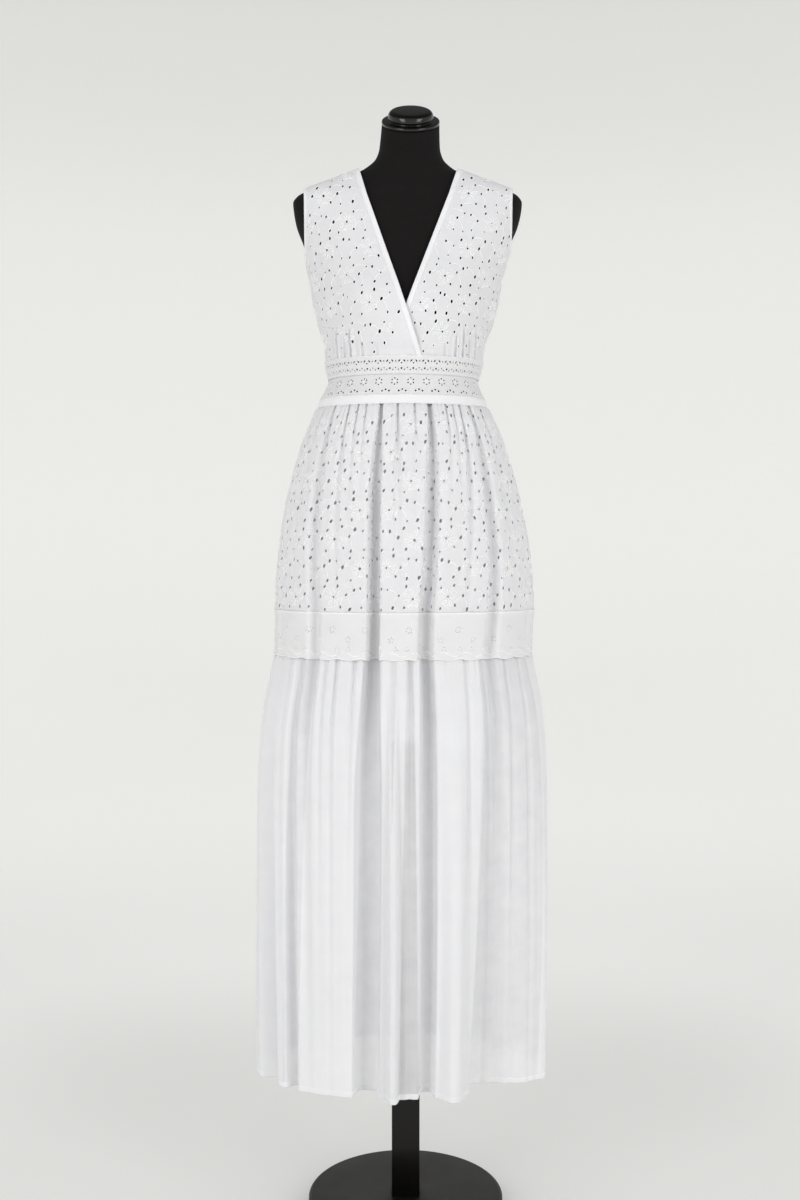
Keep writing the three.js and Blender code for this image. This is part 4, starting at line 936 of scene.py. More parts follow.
# The small creases that gathering stitches pull into a cloth: each starts at the seam, runs down
# a little aslant and fades out. They come with soft swells between them, wider waves where the
# cloth hangs free, and crumples. What comes back gives the relief for flat points.
def gathered(cloth, top, look):
    chance = np.random.RandomState(look["seed"] + (0 if cloth.side == "front" else 50))
    starts = np.arange(look["creasePitch"], cloth.width - 8, look["creasePitch"])
    starts = starts + chance.uniform(-0.45, 0.45, len(starts)) * look["creasePitch"]
    depths = look["creaseDepth"] * chance.uniform(0.35, 1.0, len(starts))
    runs = look["creaseRun"] * (0.25 + chance.uniform(0, 1, len(starts)) ** 2)
    widths = look["creaseWidth"] * chance.uniform(0.7, 1.3, len(starts))
    slants = chance.uniform(-0.07, 0.07, len(starts))

    def extra(flat):
        x, z = flat[:, 0], flat[:, 1]
        down = top - z
        total = np.zeros(len(flat))
        for start, depth, run, width, slant in zip(starts, depths, runs, widths, slants):
            spread = width * (1 + 1.2 * down / run)
            away = (x - start - slant * down) / spread
            near = np.abs(away) < 3
            fade = np.clip(1 - down[near] / run, 0, 1) ** 1.3
            shape = 0.45 * np.exp(-(np.abs(away[near]) - 1.5) ** 2) - np.exp(-away[near] ** 2 * 1.6)
            total[near] += depth * fade * shape
        seed = look["seed"] + 200
        drape = softNoise(x / 47, down / 260, seed + 2)
        crumple = softNoise(x / 17, down / 23, seed + 3) + 0.5 * softNoise(x / 8, down / 12, seed + 4)
        total = total + look["drape"] * drape * smoothStep(down, 0, 60) + look["crumple"] * crumple
        return total * smoothStep(np.minimum(x, cloth.width - x), 0, 14)
    return extra


def flatOutline(width, low, top, step):
    corners = [(0, low), (width, low), (width, top), (0, top)]
    return closedOutline([[corners[i], corners[(i + 1) % 4]] for i in range(4)], step)


# Eyelet tier
eyeletTier = {
    "thickness": 0.5, "spacing": 4.4, "edgeStep": 3.2, "allowance": 1.5, "turnedIn": 2.6,
    "eyeletMargin": 3.2, "phase": (12, 9), "fineRun": 62, "fineSpacing": 2.1,
    "gather": {"seed": 11, "creasePitch": 8, "creaseDepth": 1.8, "creaseRun": 60, "creaseWidth": 1.7,
               "drape": 0.7, "crumple": 0.11},
    "frontFolds": [
        (17, 20, 5, 5, 3, 4, 4, 2, 0.5), (29, 31, 5, 3, 0, 3, 3, 2, 0.4),
        (41, 48.5, 7, 12, 12, 4.6, 3.8, 2, 0.45), (54, 60, 6, 4, 0, 2.6, 2, 2, 0.45),
        (60.5, 66, 5, 1, 0, 2.2, 2.2, 2, 0.5), (66.5, 71, 5, 1, 0, 2, 2, 2, 0.5),
        (76.4, 77, 10, 24, 25, 3.2, 2.9, 5, 0.5), (87, 87, 7, 5, 0, 2.4, 2.4, 2, 0.5),
        (97.8, 94, 5, 1, 0, 2.2, 2.2, 2, 0.5), (108, 100, 12, 20, 21, 4.4, 2.6, 5, 0.6),
        (118.5, 108, 5, 1, 0, 2, 2.2, 2, 0.5), (123.8, 112.5, 5, 1, 0, 2, 2.2, 2, 0.5),
        (129, 117.5, 8, 7, 2, 2.4, 2.8, 2, 0.5), (138, 131, 7, 16, 15, 3.6, 4.8, 3, 0.45),
        (150, 146, 5, 3, 0, 3, 3, 2, 0.45), (163, 160, 5, 5, 3, 4, 4, 2, 0.5),
    ],
    "backFolds": [
        (16, 20, 5, 5, 3, 4, 4, 2, 0.5), (28, 32, 5, 3, 0, 3, 3, 2, 0.45),
        (40, 45, 7, 14, 14, 4.4, 3.6, 2.5, 0.5), (52, 56, 6, 3, 0, 2.6, 2.6, 2, 0.5),
        (64, 67, 7, 12, 11, 3.2, 3.8, 2.5, 0.5), (76, 78, 6, 3, 0, 2.6, 2.4, 2, 0.5),
        (90, 91, 9, 18, 18, 4, 3.4, 3, 0.5), (103, 102, 5, 2, 0, 2.6, 2.8, 2, 0.5),
        (115, 113, 7, 13, 13, 3.4, 4, 2.5, 0.5), (127, 124, 6, 3, 0, 2.6, 2.8, 2, 0.5),
        (140, 136, 7, 15, 14, 3.6, 4.4, 2.5, 0.5), (152, 148, 5, 3, 0, 3, 3, 2, 0.5),
        (164, 160, 5, 5, 3, 4, 4, 2, 0.5),
    ],
}


def makeEyeletTier(side):
    top, low = seams["waistbandLow"], seams["eyeletTierLow"]
    surface = foldedSurface(side, eyeletTier[side + "Folds"], top, low)
    allowance = eyeletTier["allowance"]
    cloth = ClothOn(surface, side, low - allowance, top + allowance)
    gathers = gathered(cloth, top, eyeletTier["gather"])

    def extra(flat):  # the top edge turns in under the waistband
        return gathers(flat) - eyeletTier["turnedIn"] * smoothStep(flat[:, 1], top - 0.8, top + 1.2)
    cloth.extra = extra
    outline = flatOutline(cloth.width, low - allowance, top + allowance, eyeletTier["edgeStep"])
    seed = 5 if side == "front" else 6
    eyelets, lines = spreadBroderie(outline, seed, eyeletTier["eyeletMargin"], eyeletTier["phase"])
    fine = (top - eyeletTier["fineRun"], top + 2, eyeletTier["fineSpacing"])
    flat, relief, faces = cutCloth(outline, eyelets, eyeletTier["spacing"], band=fine)
    points = cloth.lay(flat, relief + cloth.extra(flat))
    name = "eyeletTier" + side.capitalize()
    piece = newPiece(name, points, outward(faces, side), eyeletCotton, flat, overcast=relief > overcastFrom)
    thicken(piece, eyeletTier["thickness"])
    place(piece, ["eyelet_tier_" + side], "eyelet_cotton")
    threads = raisedThreads(name + "Embroidery", cloth, lines, *broderie["thread"])
    place(threads, [], "eyelet_cotton")
    print(name, "eyelets", len(eyelets), "flat width", round(cloth.width))
    return piece


# Border under it: plain cotton with small dot eyelets and a scalloped edge in satin stitch
border = {
    "thickness": 0.5, "spacing": 4.2, "scallopPitch": 37, "scallopDepth": 2.8, "lap": 1.8, "lapLift": 0.8,
    "gather": {"seed": 31, "creasePitch": 40, "creaseDepth": 0.3, "creaseRun": 30, "creaseWidth": 4,
               "drape": 0.9, "crumple": 0.14},
    "frontFolds": [
        (20, 21, 3, 4, 5, 4, 4, 2, 1), (48.5, 48.5, 12, 12, 12, 4.6, 3.8, 2, 1),
        (77, 77, 25, 25, 26, 3.2, 2.9, 5, 1), (100, 100.4, 21, 21, 22, 4.4, 2.6, 5, 1),
        (131, 130, 15, 14, 13, 3.6, 4.8, 3, 1), (160, 160, 3, 4, 5, 4, 4, 2, 1),
    ],
    "backFolds": [
        (20, 21, 3, 4, 5, 4, 4, 2, 1), (45, 45, 14, 14, 14, 4.4, 3.6, 2.5, 1),
        (67, 67, 11, 12, 12, 3.2, 3.8, 2.5, 1), (91, 91, 18, 18, 18, 4, 3.4, 3, 1),
        (113, 113, 13, 13, 13, 3.4, 4, 2.5, 1), (136, 136, 14, 14, 14, 3.6, 4.4, 2.5, 1),
        (160, 160, 3, 4, 5, 4, 4, 2, 1),
    ],
    "dotRadius": 0.95, "dotRings": [(0.0, 0.1), (0.4, 0.3), (0.8, 0.0)],
    # rows of dot clusters: height above the low edge, pitch, start, dots in the cluster, its radius
    "clusters": [(46, 52, 20, 6, 4.2), (31, 52, 46, 5, 3.4)],
    "pairs": {"height": 17, "pitch": 43, "apart": 9, "ring": 2.6},
    "thread": (0.7, 0.55, 0.22),  # half width, height, and how far its foot stands off the cloth
}


def makeBorder(side):
    top, low = seams["eyeletTierLow"] + border["lap"], seams["borderLow"]
    surface = foldedSurface(side, border[side + "Folds"], top, low)
    cloth = ClothOn(surface, side, low - 6, top)
    hang = gathered(cloth, top, border["gather"])
    # the top edge laps over the tier above
    cloth.extra = lambda flat: hang(flat) + border["lapLift"] * smoothStep(flat[:, 1], top - 9, top - 3)
    width = cloth.width
    xs = np.linspace(0, width, int(width / 2) + 1)
    scallop = low + 1.5 - border["scallopDepth"] * np.abs(np.sin(xs * math.pi / border["scallopPitch"]))
    edge = np.stack([xs, scallop], -1)
    sides = [[edge[-1], (width, top)], [(width, top), (0, top)], [(0, top), edge[0]]]
    outline = closedOutline([edge] + sides, 2.6)
    dots = []
    radius = border["dotRadius"]
    for height, pitch, start, number, ring in border["clusters"]:
        for x in np.arange(start, width - 10, pitch):
            for i in range(number):
                turn = 2 * math.pi * (i + 0.25) / number
                dots.append((x + ring * math.cos(turn), low + height + ring * math.sin(turn),
                             radius, radius, 0))
    pairs = border["pairs"]
    for x in np.arange(pairs["pitch"] / 2, width - 10, pairs["pitch"]):
        for offset in (-pairs["apart"], pairs["apart"]):
            for i in range(3):
                turn = math.radians(90 + 120 * i)
                dots.append((x + offset + pairs["ring"] * math.cos(turn),
                             low + pairs["height"] + pairs["ring"] * math.sin(turn), radius, radius, 0))
    flat, relief, faces = cutCloth(outline, dots, border["spacing"], border["dotRings"], 7)
    overcast = relief > overcastFrom
    relief = relief + 0.5 * np.exp(-((flat[:, 1] - (top - 2.2)) / 1.6) ** 2)  # the seam's rolled edge
    doubled = np.exp(-((flat[:, 1] - top) / 7) ** 2)
    points = cloth.lay(flat, relief + cloth.extra(flat))
    name = "border" + side.capitalize()
    # the border's cloth is the darker poplin, whose colour is painted shade
    piece = newPiece(name, points, outward(faces, side), shadedPoplin, flat, doubled, overcast)
    thicken(piece, border["thickness"])
    place(piece, ["border_" + side], "plain_cotton")
    inner = edge + (0, 1.6)
    lines = [inner[i:i + 60] for i in range(0, len(inner) - 1, 59)]
    trail = [np.array([(x + t, low + 9 + 3 * math.sin(2 * math.pi * (x + t) / border["scallopPitch"]))
                       for t in np.linspace(0, border["scallopPitch"] * 0.86, 12)])
             for x in np.arange(4, width - border["scallopPitch"], border["scallopPitch"])]
    seamLine = resample([(2, top - 2.2), (width - 2, top - 2.2)], 6)
    lines += trail + [seamLine]
    threads = raisedThreads(name + "Embroidery", cloth, lines, *border["thread"])
    place(threads, [], "plain_cotton")
    print(name, "dots", len(dots), "flat width", round(width))


# Lower tier: long gathered voile with a narrow turned hem
lowerTier = {
    "thickness": 0.35, "columns": 390, "hemDepth": 9, "tuckedIn": 3.4, "tuckedShare": 0.02,
    # Elsewhere the folds count as doubled over each other. Here the cloth is a single layer, so more of the
    # dark inside shows and it is greyer.
    # These bands follow the deep valleys and, at the front, a broad plane turned from the light, so the grey
    # is partly painted shade: from and to an angle at the top, from and to an angle at the hem
    "foldedOver": 0.75,
    "single": {
        "front": [(39.5, 49.5, 37.5, 47), (73, 81.2, 71.6, 82), (84.6, 87.4, 88.2, 84.0),
                  (91.2, 93.9, 89.2, 96.8), (98.2, 103.2, 97.4, 103.4), (125, 160, 121.5, 158)],
        "back": [(41, 49, 41, 49), (64, 70, 63.5, 70), (87, 96, 86.5, 96.5), (110, 116, 110, 117),
                 (132.5, 140.5, 132.5, 141)],
    },
    "gather": {"seed": 61, "creasePitch": 13, "creaseDepth": 2.1, "creaseRun": 60, "creaseWidth": 1.7,
               "drape": 0.6, "crumple": 0.12},
    "frontFolds": [
        (10, 9, 3, 1, 0, 2.4, 2.4, 2, 1), (22, 29, 6, 24, 36, 13, 6, 2, 0.7),
        (33, 36, 4, 1, 0, 2, 2, 2, 1), (40, 43, 5, 15, 24, 3.6, 4.4, 2, 0.8),
        (48.5, 52, 13, 5, 1, 4.2, 3.6, 2, 1.1), (55, 58, 5, 1, 0, 1.6, 1.8, 2, 1),
        (60.5, 62, 6, 2, 1, 1.5, 1.9, 2, 0.8), (69, 68.5, 6, 1, 0, 1.6, 1.6, 2, 1),
        (77, 77.2, 27, 30, 34, 5.9, 5.2, 8, 0.66), (86, 87.5, 0, -14, -20, 2.4, 2.2, 4, 1),
        (93, 93.5, 6, 2, 2, 1.4, 1.8, 2, 1), (100.4, 101, 23, 24, 28, 4.4, 2.6, 6, 0.9),
        (110, 110, 0, -12, -22, 5.6, 6.4, 2.5, 1), (117, 112, 5, 3, 0, 1.2, 2.2, 2, 1),
        (127, 120.5, 3, 24, 44, 4, 36, 2, 1), (124.5, 128, 4, 3, 2, 1.6, 2.2, 2, 1),
        (130.5, 135, 14, 5, 3, 3.8, 4.8, 2, 1), (139, 142, 5, 3, 2, 1.6, 2.6, 2, 0.8),
        (149, 152, 5, 2, 2, 2, 3, 2, 0.8), (161, 163, 3, -5, -10, 7, 7, 2, 1),
        (170, 171, 3, 1, 0, 2.4, 2.4, 2, 1),
    ],
    "backFolds": [
        (10, 10, 3, 1, 0, 2.4, 2.4, 2, 1), (20, 21, 5, 8, 9, 3.6, 3.6, 2, 1),
        (30, 31, 4, 2, 2, 2.2, 2.6, 2, 1), (37, 37.5, 4, 3, 3, 2.2, 2.4, 2, 1),
        (45, 45, 15, 22, 28, 4.8, 4, 4, 0.9), (54, 54.5, 4, -8, -13, 3.4, 3, 2, 1),
        (60, 60.5, 5, 3, 1, 1.6, 1.8, 2, 1), (67, 66.5, 13, 16, 18, 3.6, 4.2, 3, 0.9),
        (79, 78, 5, -7, -12, 3.2, 3.4, 2, 1), (84, 84, 4, 2, 0, 1.6, 1.6, 2, 1),
        (91, 91, 19, 28, 36, 5, 5.6, 5, 0.8), (102, 103, 5, -8, -14, 3.6, 3.2, 2, 1),
        (107, 107, 4, 3, 1, 1.4, 1.8, 2, 1), (113, 113.5, 14, 18, 21, 4, 3.6, 3, 0.9),
        (124.5, 125, 5, -8, -12, 3.4, 3.4, 2, 1), (136, 136, 15, 20, 24, 4, 5, 3, 0.9),
        (146, 146, 4, 3, 3, 2.2, 2.6, 2, 1), (156, 155, 5, 8, 9, 3.2, 4, 2, 1),
        (168, 168, 3, 1, 0, 2.6, 2.6, 2, 1),
    ],
}


def makeLowerTier(side):
    top, low = seams["lowerTierTop"], seams["hem"]
    surface = foldedSurface(side, lowerTier[side + "Folds"], top, low)
    cloth = ClothOn(surface, side, low, top, heightCount=91)
    cloth.extra = gathered(cloth, top, lowerTier["gather"])
    heights = np.concatenate([np.arange(low, low + 12, 1.5), np.arange(low + 12, 700, 14),
                              np.arange(700, 820, 8), np.arange(820, top, 4), [top]])
    flat, faces = evenCloth(cloth.width, heights, lowerTier["columns"])
    down = (top - flat[:, 1]) / (top - low)
    tucked = lowerTier["tuckedIn"] * (1 - smoothStep(down, 0, lowerTier["tuckedShare"]))
    hem = 1 - smoothStep(flat[:, 1], low + lowerTier["hemDepth"] - 1.4, low + lowerTier["hemDepth"])
    points = cloth.lay(flat, cloth.extra(flat) - tucked + 0.3 * hem)
    angle = cloth.angleAt(flat[:, 0], flat[:, 1])
    # single-layer bands let more of the dark inside through: greyer, partly as painted shade in the valleys
    single = np.zeros(len(flat))
    for fromTop, toTop, fromLow, toLow in lowerTier["single"][side]:
        start, end = fromTop + (fromLow - fromTop) * down, toTop + (toLow - toTop) * down
        single = np.maximum(single, smoothStep(angle, start - 0.3, start + 0.3)
                            * (1 - smoothStep(angle, end - 0.3, end + 0.3)))
    doubled = np.maximum(lowerTier["foldedOver"] * (1 - single), hem)
    name = "lowerTier" + side.capitalize()
    piece = newPiece(name, points, outward(faces[:, ::-1], side), voile, flat, doubled)
    thicken(piece, lowerTier["thickness"])
    place(piece, ["lower_tier_" + side], "sheer_cotton")
    stitchZ = low + lowerTier["hemDepth"] - 2
    line = [(4, stitchZ), (cloth.width - 4, stitchZ)]
    threads = raisedThreads(name + "HemStitching", cloth, stitches(line, 4.2, 2.8), 0.22, 0.25, 0.42)
    place(threads, [], "sheer_cotton")
    print(name, "flat width", round(cloth.width))


# Lining: muslin from the waist to above the knee
lining = {"thickness": 0.35, "columns": 110, "hemDepth": 14, "wave": 3.2}


def makeLining(side):
    low, top = seams["liningHem"], seams["liningTop"]
    cloth = ClothOn(ovalSurface(liningShape, side), side, low, top)

    def waves(flat):
        fall = smoothStep(top - flat[:, 1], 60, 500)
        ends = smoothStep(np.minimum(flat[:, 0], cloth.width - flat[:, 0]), 0, 20)
        return lining["wave"] * softNoise(flat[:, 0] / 38, flat[:, 1] / 300, 81) * fall * ends
    cloth.extra = waves
    heights = np.concatenate([np.arange(low, low + 18, 3), np.arange(low + 18, top, 9), [top]])
    flat, faces = evenCloth(cloth.width, heights, lining["columns"])
    hem = 1 - smoothStep(flat[:, 1], low + lining["hemDepth"] - 2, low + lining["hemDepth"])
    points = cloth.lay(flat, waves(flat) + 0.3 * hem)
    name = "lining" + side.capitalize()
    piece = newPiece(name, points, outward(faces[:, ::-1], side), liningCotton, flat, hem * 0.7)
    thicken(piece, lining["thickness"])
    place(piece, ["lining_" + side], "lining_cotton")


for side in ("front", "back"):
    makeLining(side)
    makeEyeletTier(side)
    makeBorder(side)
    makeLowerTier(side)
print("skirt made")


# Bands round the waist
laceTrim = {
    "thickness": 0.8, "lift": 1.5, "pitch": 18, "cord": 0.34, "picotPitch": 4.5, "picot": 0.9,
    # holes of one motif: across, up, half width, half height, lean
    "holes": [(-3.8, 20.0, 1.1, 2.3, 38), (3.8, 20.0, 1.1, 2.3, -38), (0, 16.6, 1.2, 1.3, 0),
              (0, 8.8, 1.5, 1.6, 0), (9, 19.6, 0.9, 1.3, 0), (-4.6, 6.8, 0.8, 1.5, -30),
              (4.6, 6.8, 0.8, 1.5, 30), (9, 9.6, 0.9, 1.1, 0)],
    "rim": [(0.0, 0.1), (0.5, 0.45), (0.9, 0.15)],
    # cords that wind round each other: height, swing, where each starts
    "cords": [(13.2, 1.7, 0), (13.2, 1.7, math.pi), (23.9, 0.6, 1.6), (3.2, 0.6, 1.6)],
    "cordHalfWidth": 1.1, "ribDepth": 0.12, "ribPitch": 2.2,
}


def bandCloth(side, low, top):
    cloth = ClothOn(ovalSurface(bodiceShape, side), side, low, top, heightCount=21)
    cloth.extra = lambda flat: 0 * flat[:, 0]
    return cloth


def bandOutline(width, low, top, step, wave=0.0, pitch=4.5):
    xs = np.linspace(0, width, int(width / 1.1) + 1)
    scallop = wave * np.abs(np.sin(xs * math.pi / pitch)) if wave else 0 * xs
    bottom = np.stack([xs, low - scallop + wave / 2], -1)
    upper = np.stack([xs, top + scallop - wave / 2], -1)[::-1]
    return closedOutline([bottom, [bottom[-1], upper[0]], upper, [upper[-1], bottom[0]]], step)


def makeLaceTrim(side):
    low, top = seams["laceTrimLow"] + seamGap / 2, seams["bodiceLow"] - seamGap / 2
    cloth = bandCloth(side, low, top)
    outline = bandOutline(cloth.width, low, top, 1.5, laceTrim["picot"], laceTrim["picotPitch"])
    pitch = laceTrim["pitch"]
    holes = []
    for x in np.arange(pitch / 2, cloth.width - pitch / 2, pitch):
        for across, up, halfWidth, halfHeight, lean in laceTrim["holes"]:
            if 3 < x + across < cloth.width - 3:
                holes.append((x + across, low + up, halfWidth, halfHeight, lean))
    flat, relief, faces = cutCloth(outline, holes, 1.7, laceTrim["rim"], 7)
    x, z = flat[:, 0], flat[:, 1] - low
    turn = 2 * math.pi * x / pitch
    for middle, swing, start in laceTrim["cords"]:
        away = z - (middle + swing * np.sin(2 * turn + start))
        relief = relief + laceTrim["cord"] * np.exp(-(away / laceTrim["cordHalfWidth"]) ** 2)
    relief = relief + laceTrim["ribDepth"] * np.sin(2 * math.pi * x / laceTrim["ribPitch"] + z)
    points = cloth.lay(flat, relief + laceTrim["lift"])
    piece = newPiece("laceTrim" + side.capitalize(), points, outward(faces, side), eyeletCotton, flat,
                     np.full(len(flat), 0.3), np.clip(relief / 0.6, 0, 0.8))
    thicken(piece, laceTrim["thickness"])
    place(piece, ["lace_trim_" + side], "cotton_lace")


sheerBand = {
    "thickness": 0.4, "allowance": 1.8,
    "flowerPitch": 25, "flowerHeight": 19.5, "flowerRadius": 4.8, "flowerDot": 1.25,
    "clusterHeight": 4.6, "clusterRise": 2.2, "clusterSpread": 5.2, "clusterDot": 1.55,
    "rim": [(0.0, 0.15), (0.55, 0.6), (1.15, 0.0)], "thread": (0.4, 0.4, 0.15),
}


def makeSheerBand(side):
    low, top = seams["sheerBandLow"], seams["laceTrimLow"]
    allowance = sheerBand["allowance"]
    cloth = bandCloth(side, low - allowance, top + allowance)
    outline = bandOutline(cloth.width, low - allowance, top + allowance, 2.4)
    dots, lines = [], []
    pitch, dot, bigDot = sheerBand["flowerPitch"], sheerBand["flowerDot"], sheerBand["clusterDot"]
    for x in np.arange(pitch / 2, cloth.width - 8, pitch):
        centre = np.array([x, low + sheerBand["flowerHeight"]])
        for i in range(6):
            turn = math.radians(30 + 60 * i)
            spot = centre + sheerBand["flowerRadius"] * np.array([math.cos(turn), math.sin(turn)])
            dots.append((*spot, dot, dot, 0))
        for i in range(6):  # a short petal line inside each dot
            turn = math.radians(30 + 60 * i)
            ahead = np.array([math.cos(turn), math.sin(turn)])
            lines.append(np.array([centre + ahead * t for t in (0.6, 1.7, 2.8)]))
    for x in np.arange(pitch, cloth.width - 8, pitch):
        for i in (-1, 0, 1):
            z = low + sheerBand["clusterHeight"] + (0 if i else sheerBand["clusterRise"])
            dots.append((x + i * sheerBand["clusterSpread"], z, bigDot, bigDot, 0))
    flat, relief, faces = cutCloth(outline, dots, 3.0, sheerBand["rim"], 7)
    points = cloth.lay(flat, relief)
    name = "sheerBand" + side.capitalize()
    piece = newPiece(name, points, outward(faces, side), bandVoile, flat,
                     overcast=relief > overcastFrom)
    thicken(piece, sheerBand["thickness"])
    place(piece, ["sheer_band_" + side], "sheer_cotton")
    threads = raisedThreads(name + "Embroidery", cloth, lines, *sheerBand["thread"])
    place(threads, [], "sheer_cotton")


waistband = {"thickness": 0.6, "lift": 0.5, "roll": 0.5, "pucker": 0.16, "columns": 180,
             "stitchPitch": 3.2, "stitchFromEdge": 2.0}


def makeWaistband(side):
    low, top = seams["waistbandLow"] + seamGap / 2, seams["sheerBandLow"] - seamGap / 2
    cloth = bandCloth(side, low, top)

    def rolled(flat):
        share = np.clip((flat[:, 1] - low) / (top - low), 0, 1)
        return waistband["lift"] + waistband["roll"] * np.sin(math.pi * share) ** 0.6
    cloth.extra = rolled
    flat, faces = evenCloth(cloth.width, np.linspace(low, top, 9), waistband["columns"])
    pucker = waistband["pucker"] * softNoise(flat[:, 0] / 5, flat[:, 1] / 9, 91)
    points = cloth.lay(flat, rolled(flat) + pucker)
    name = "waistband" + side.capitalize()
    piece = newPiece(name, points, outward(faces[:, ::-1], side), plainCotton, flat,
                     np.full(len(flat), 0.9))
    thicken(piece, waistband["thickness"])
    place(piece, ["waistband_" + side], "plain_cotton")
    edge = waistband["stitchFromEdge"]
    lines = []
    for height in (low + edge, top - edge):
        lines += stitches([(3, height), (cloth.width - 3, height)], waistband["stitchPitch"], 2.2)
    threads = raisedThreads(name + "Stitching", cloth, lines, 0.25, 0.3, 0.5)
    place(threads, [], "plain_cotton")


for side in ("front", "back"):
    makeLaceTrim(side)
    makeSheerBand(side)
    makeWaistband(side)
print("waist bands made")


# Bodice. On each half x is measured outwards from the shoulders' middle line.
bodice = {
    "thickness": 0.5, "spacing": 4.2, "middle": 4, "neckPoint": (79.2, 1655.5), "shoulderTip": (165, 1623.5),
    "neckBend": 1600, "backNeck": 1643, "armhole": 163.5, "armholeSpread": 1590,
    "neckBand": 9, "armholeBand": 5, "bandLift": 0.34, "bandThickness": 0.32, "tuckedBehind": 2.5,
    "shoulderStrip": 7, "stripLift": 1.3, "seamAngle": 3, "underarm": 1500,
    "eyeletMargin": 4.5, "eyeletScale": 0.88, "edgeStep": 2.6, "fineRun": 50, "stitchPitch": 3.2,
    # the V's edge: side, distance from the middle at the bend and at the low edge, lap's lift, and
    # the height below which the cloth beside the edge is plain, ever wider
    "right": {"sign": -1, "top": 64.3, "low": -20.2, "lift": 4.2, "plain": (1416, 0.85)},
    "left": {"sign": 1, "top": 62.3, "low": -31.4, "lift": 0, "plain": (1300, 0.0)},
    # tucks under the bust: x, run up, depth, half width
    "tucks": {
        "right": [(-105, 54, 4.4, 2.5), (-84, 50, 4.6, 2.4), (-94, 30, 2.6, 2.4),
                  (-66, 26, 1.8, 2.8), (-44, 18, 1.1, 3)],
        "left": [(76, 38, 3.0, 2.5), (87, 50, 4.4, 2.4), (97, 34, 2.8, 2.4),
                 (106, 48, 4.2, 2.5), (60, 20, 1.3, 3)],
        "back": [(-58, 30, 2.0, 3.4), (-46, 20, 1.4, 3), (46, 20, 1.4, 3), (60, 30, 2.2, 3.4)],
    },
}
bodiceCloth = {}
for side in ("front", "back"):
    low = seams["bodiceLow"] - bodice["tuckedBehind"]
    bodiceCloth[side] = ClothOn(ovalSurface(bodiceShape, side), side, low, 1668, fitted=True,
                                heightCount=161)


def neckEdgeX(name, z):
    edge = bodice[name]
    pointX, pointZ = bodice["neckPoint"]
    bend, low = bodice["neckBend"], seams["bodiceLow"]
    upper = edge["top"] + (pointX - edge["top"]) * (z - bend) / (pointZ - bend)
    lower = edge["low"] + (edge["top"] - edge["low"]) * (z - low) / (bend - low)
    return np.where(z > bend, upper, lower)


def outerEdgeX(sign, z):
    side = bodiceShape["halfWidth"](z) + sign * (bodiceShape["middle"](z) - bodice["middle"])
    spread = smoothStep(z, bodice["armholeSpread"], bodice["shoulderTip"][1])
    return np.minimum(side, bodice["armhole"] + (bodice["shoulderTip"][0] - bodice["armhole"]) * spread)


# Flat place on the bodice's cloth of a point x off the shoulders' middle line, at a height
def flatAt(side, sign, x, z):
    z = np.asarray(z, float)
    fromMiddle = sign * np.asarray(x, float) + bodice["middle"] - bodiceShape["middle"](z)
    cosine = np.clip(-fromMiddle / bodiceShape["halfWidth"](z), -1, 1)
    angle = np.clip(np.degrees(np.arccos(cosine)), sideAngle, 180 - sideAngle)
    return np.stack([bodiceCloth[side].arcAt(angle, z), z], -1)


# Height of the shoulder's ridge at a distance from the middle, where front and back are sewn
def ridgeZ(x):
    z = np.linspace(1610, 1668, 200)
    reach = bodiceShape["halfWidth"](z) * math.cos(math.radians(bodice["seamAngle"]))
    return np.interp(x, reach[::-1], z[::-1])


# The bodice's cloth on one side, with the relief of its swells, tucks and lap
def bodiceRelief(name, side):
    cloth = bodiceCloth[side]

    def extra(flat):
        x, z = flat[:, 0], flat[:, 1]
        total = 0.35 * softNoise(x / 26, z / 30, 71) + 0.12 * softNoise(x / 9, z / 11, 72)
        above = z - seams["bodiceLow"]
        for at, run, depth, halfWidth in bodice["tucks"][name]:
            centre = flatAt(side, 1, at - bodice["middle"] + 0.06 * above * np.sign(at), z)[:, 0]
            away = np.minimum(np.abs(x - centre) / halfWidth, 1)
            beside = np.exp(-((np.abs(x - centre) - 1.5 * halfWidth) / halfWidth) ** 2)
            fade = 1 - smoothStep(above, 0.5 * run, run)
            total = total + fade * (0.5 * depth * beside - 1.4 * depth * (1 - away * away) ** 2)
        if side == "front" and bodice[name]["lift"]:
            sign = bodice[name]["sign"]
            inner = flatAt(side, sign, neckEdgeX(name, z), z)[:, 0]
            outer = flatAt(side, sign, outerEdgeX(sign, z), z)[:, 0]
            across = (x - inner) / (sign * np.maximum(np.abs(outer - inner), 1))
            down = (bodice["neckPoint"][1] - z) / (bodice["neckPoint"][1] - seams["bodiceLow"])
            # flat again behind the trim
            lift = 0.8 + (bodice[name]["lift"] - 0.8) * smoothStep(above, 4, 26)
            total = total + lift * (1 - smoothStep(across, 0.3, 0.6)) * smoothStep(down, 0.5, 0.72)
        return total
    fitted = copy.copy(cloth)
    fitted.extra = extra
    return fitted


def frontOutline(name):
    sign = bodice[name]["sign"]
    low = seams["bodiceLow"] - bodice["tuckedBehind"]
    (pointX, pointZ), (tipX, tipZ) = bodice["neckPoint"], bodice["shoulderTip"]
    neckZ = np.linspace(pointZ, low, 60)
    share = np.linspace(0, 1, 20)
    outerZ = np.linspace(low, tipZ, 90)
    neck = flatAt("front", sign, neckEdgeX(name, neckZ), neckZ)
    outer = flatAt("front", sign, outerEdgeX(sign, outerZ), outerZ)
    shoulderX = tipX + (pointX - tipX) * share
    shoulder = flatAt("front", sign, shoulderX, ridgeZ(shoulderX))
    bottom = np.stack([neck[-1], outer[0]])
    lines = {"neck": neck, "outer": outer}
    return lines, closedOutline([neck, bottom, outer, shoulder], bodice["edgeStep"])


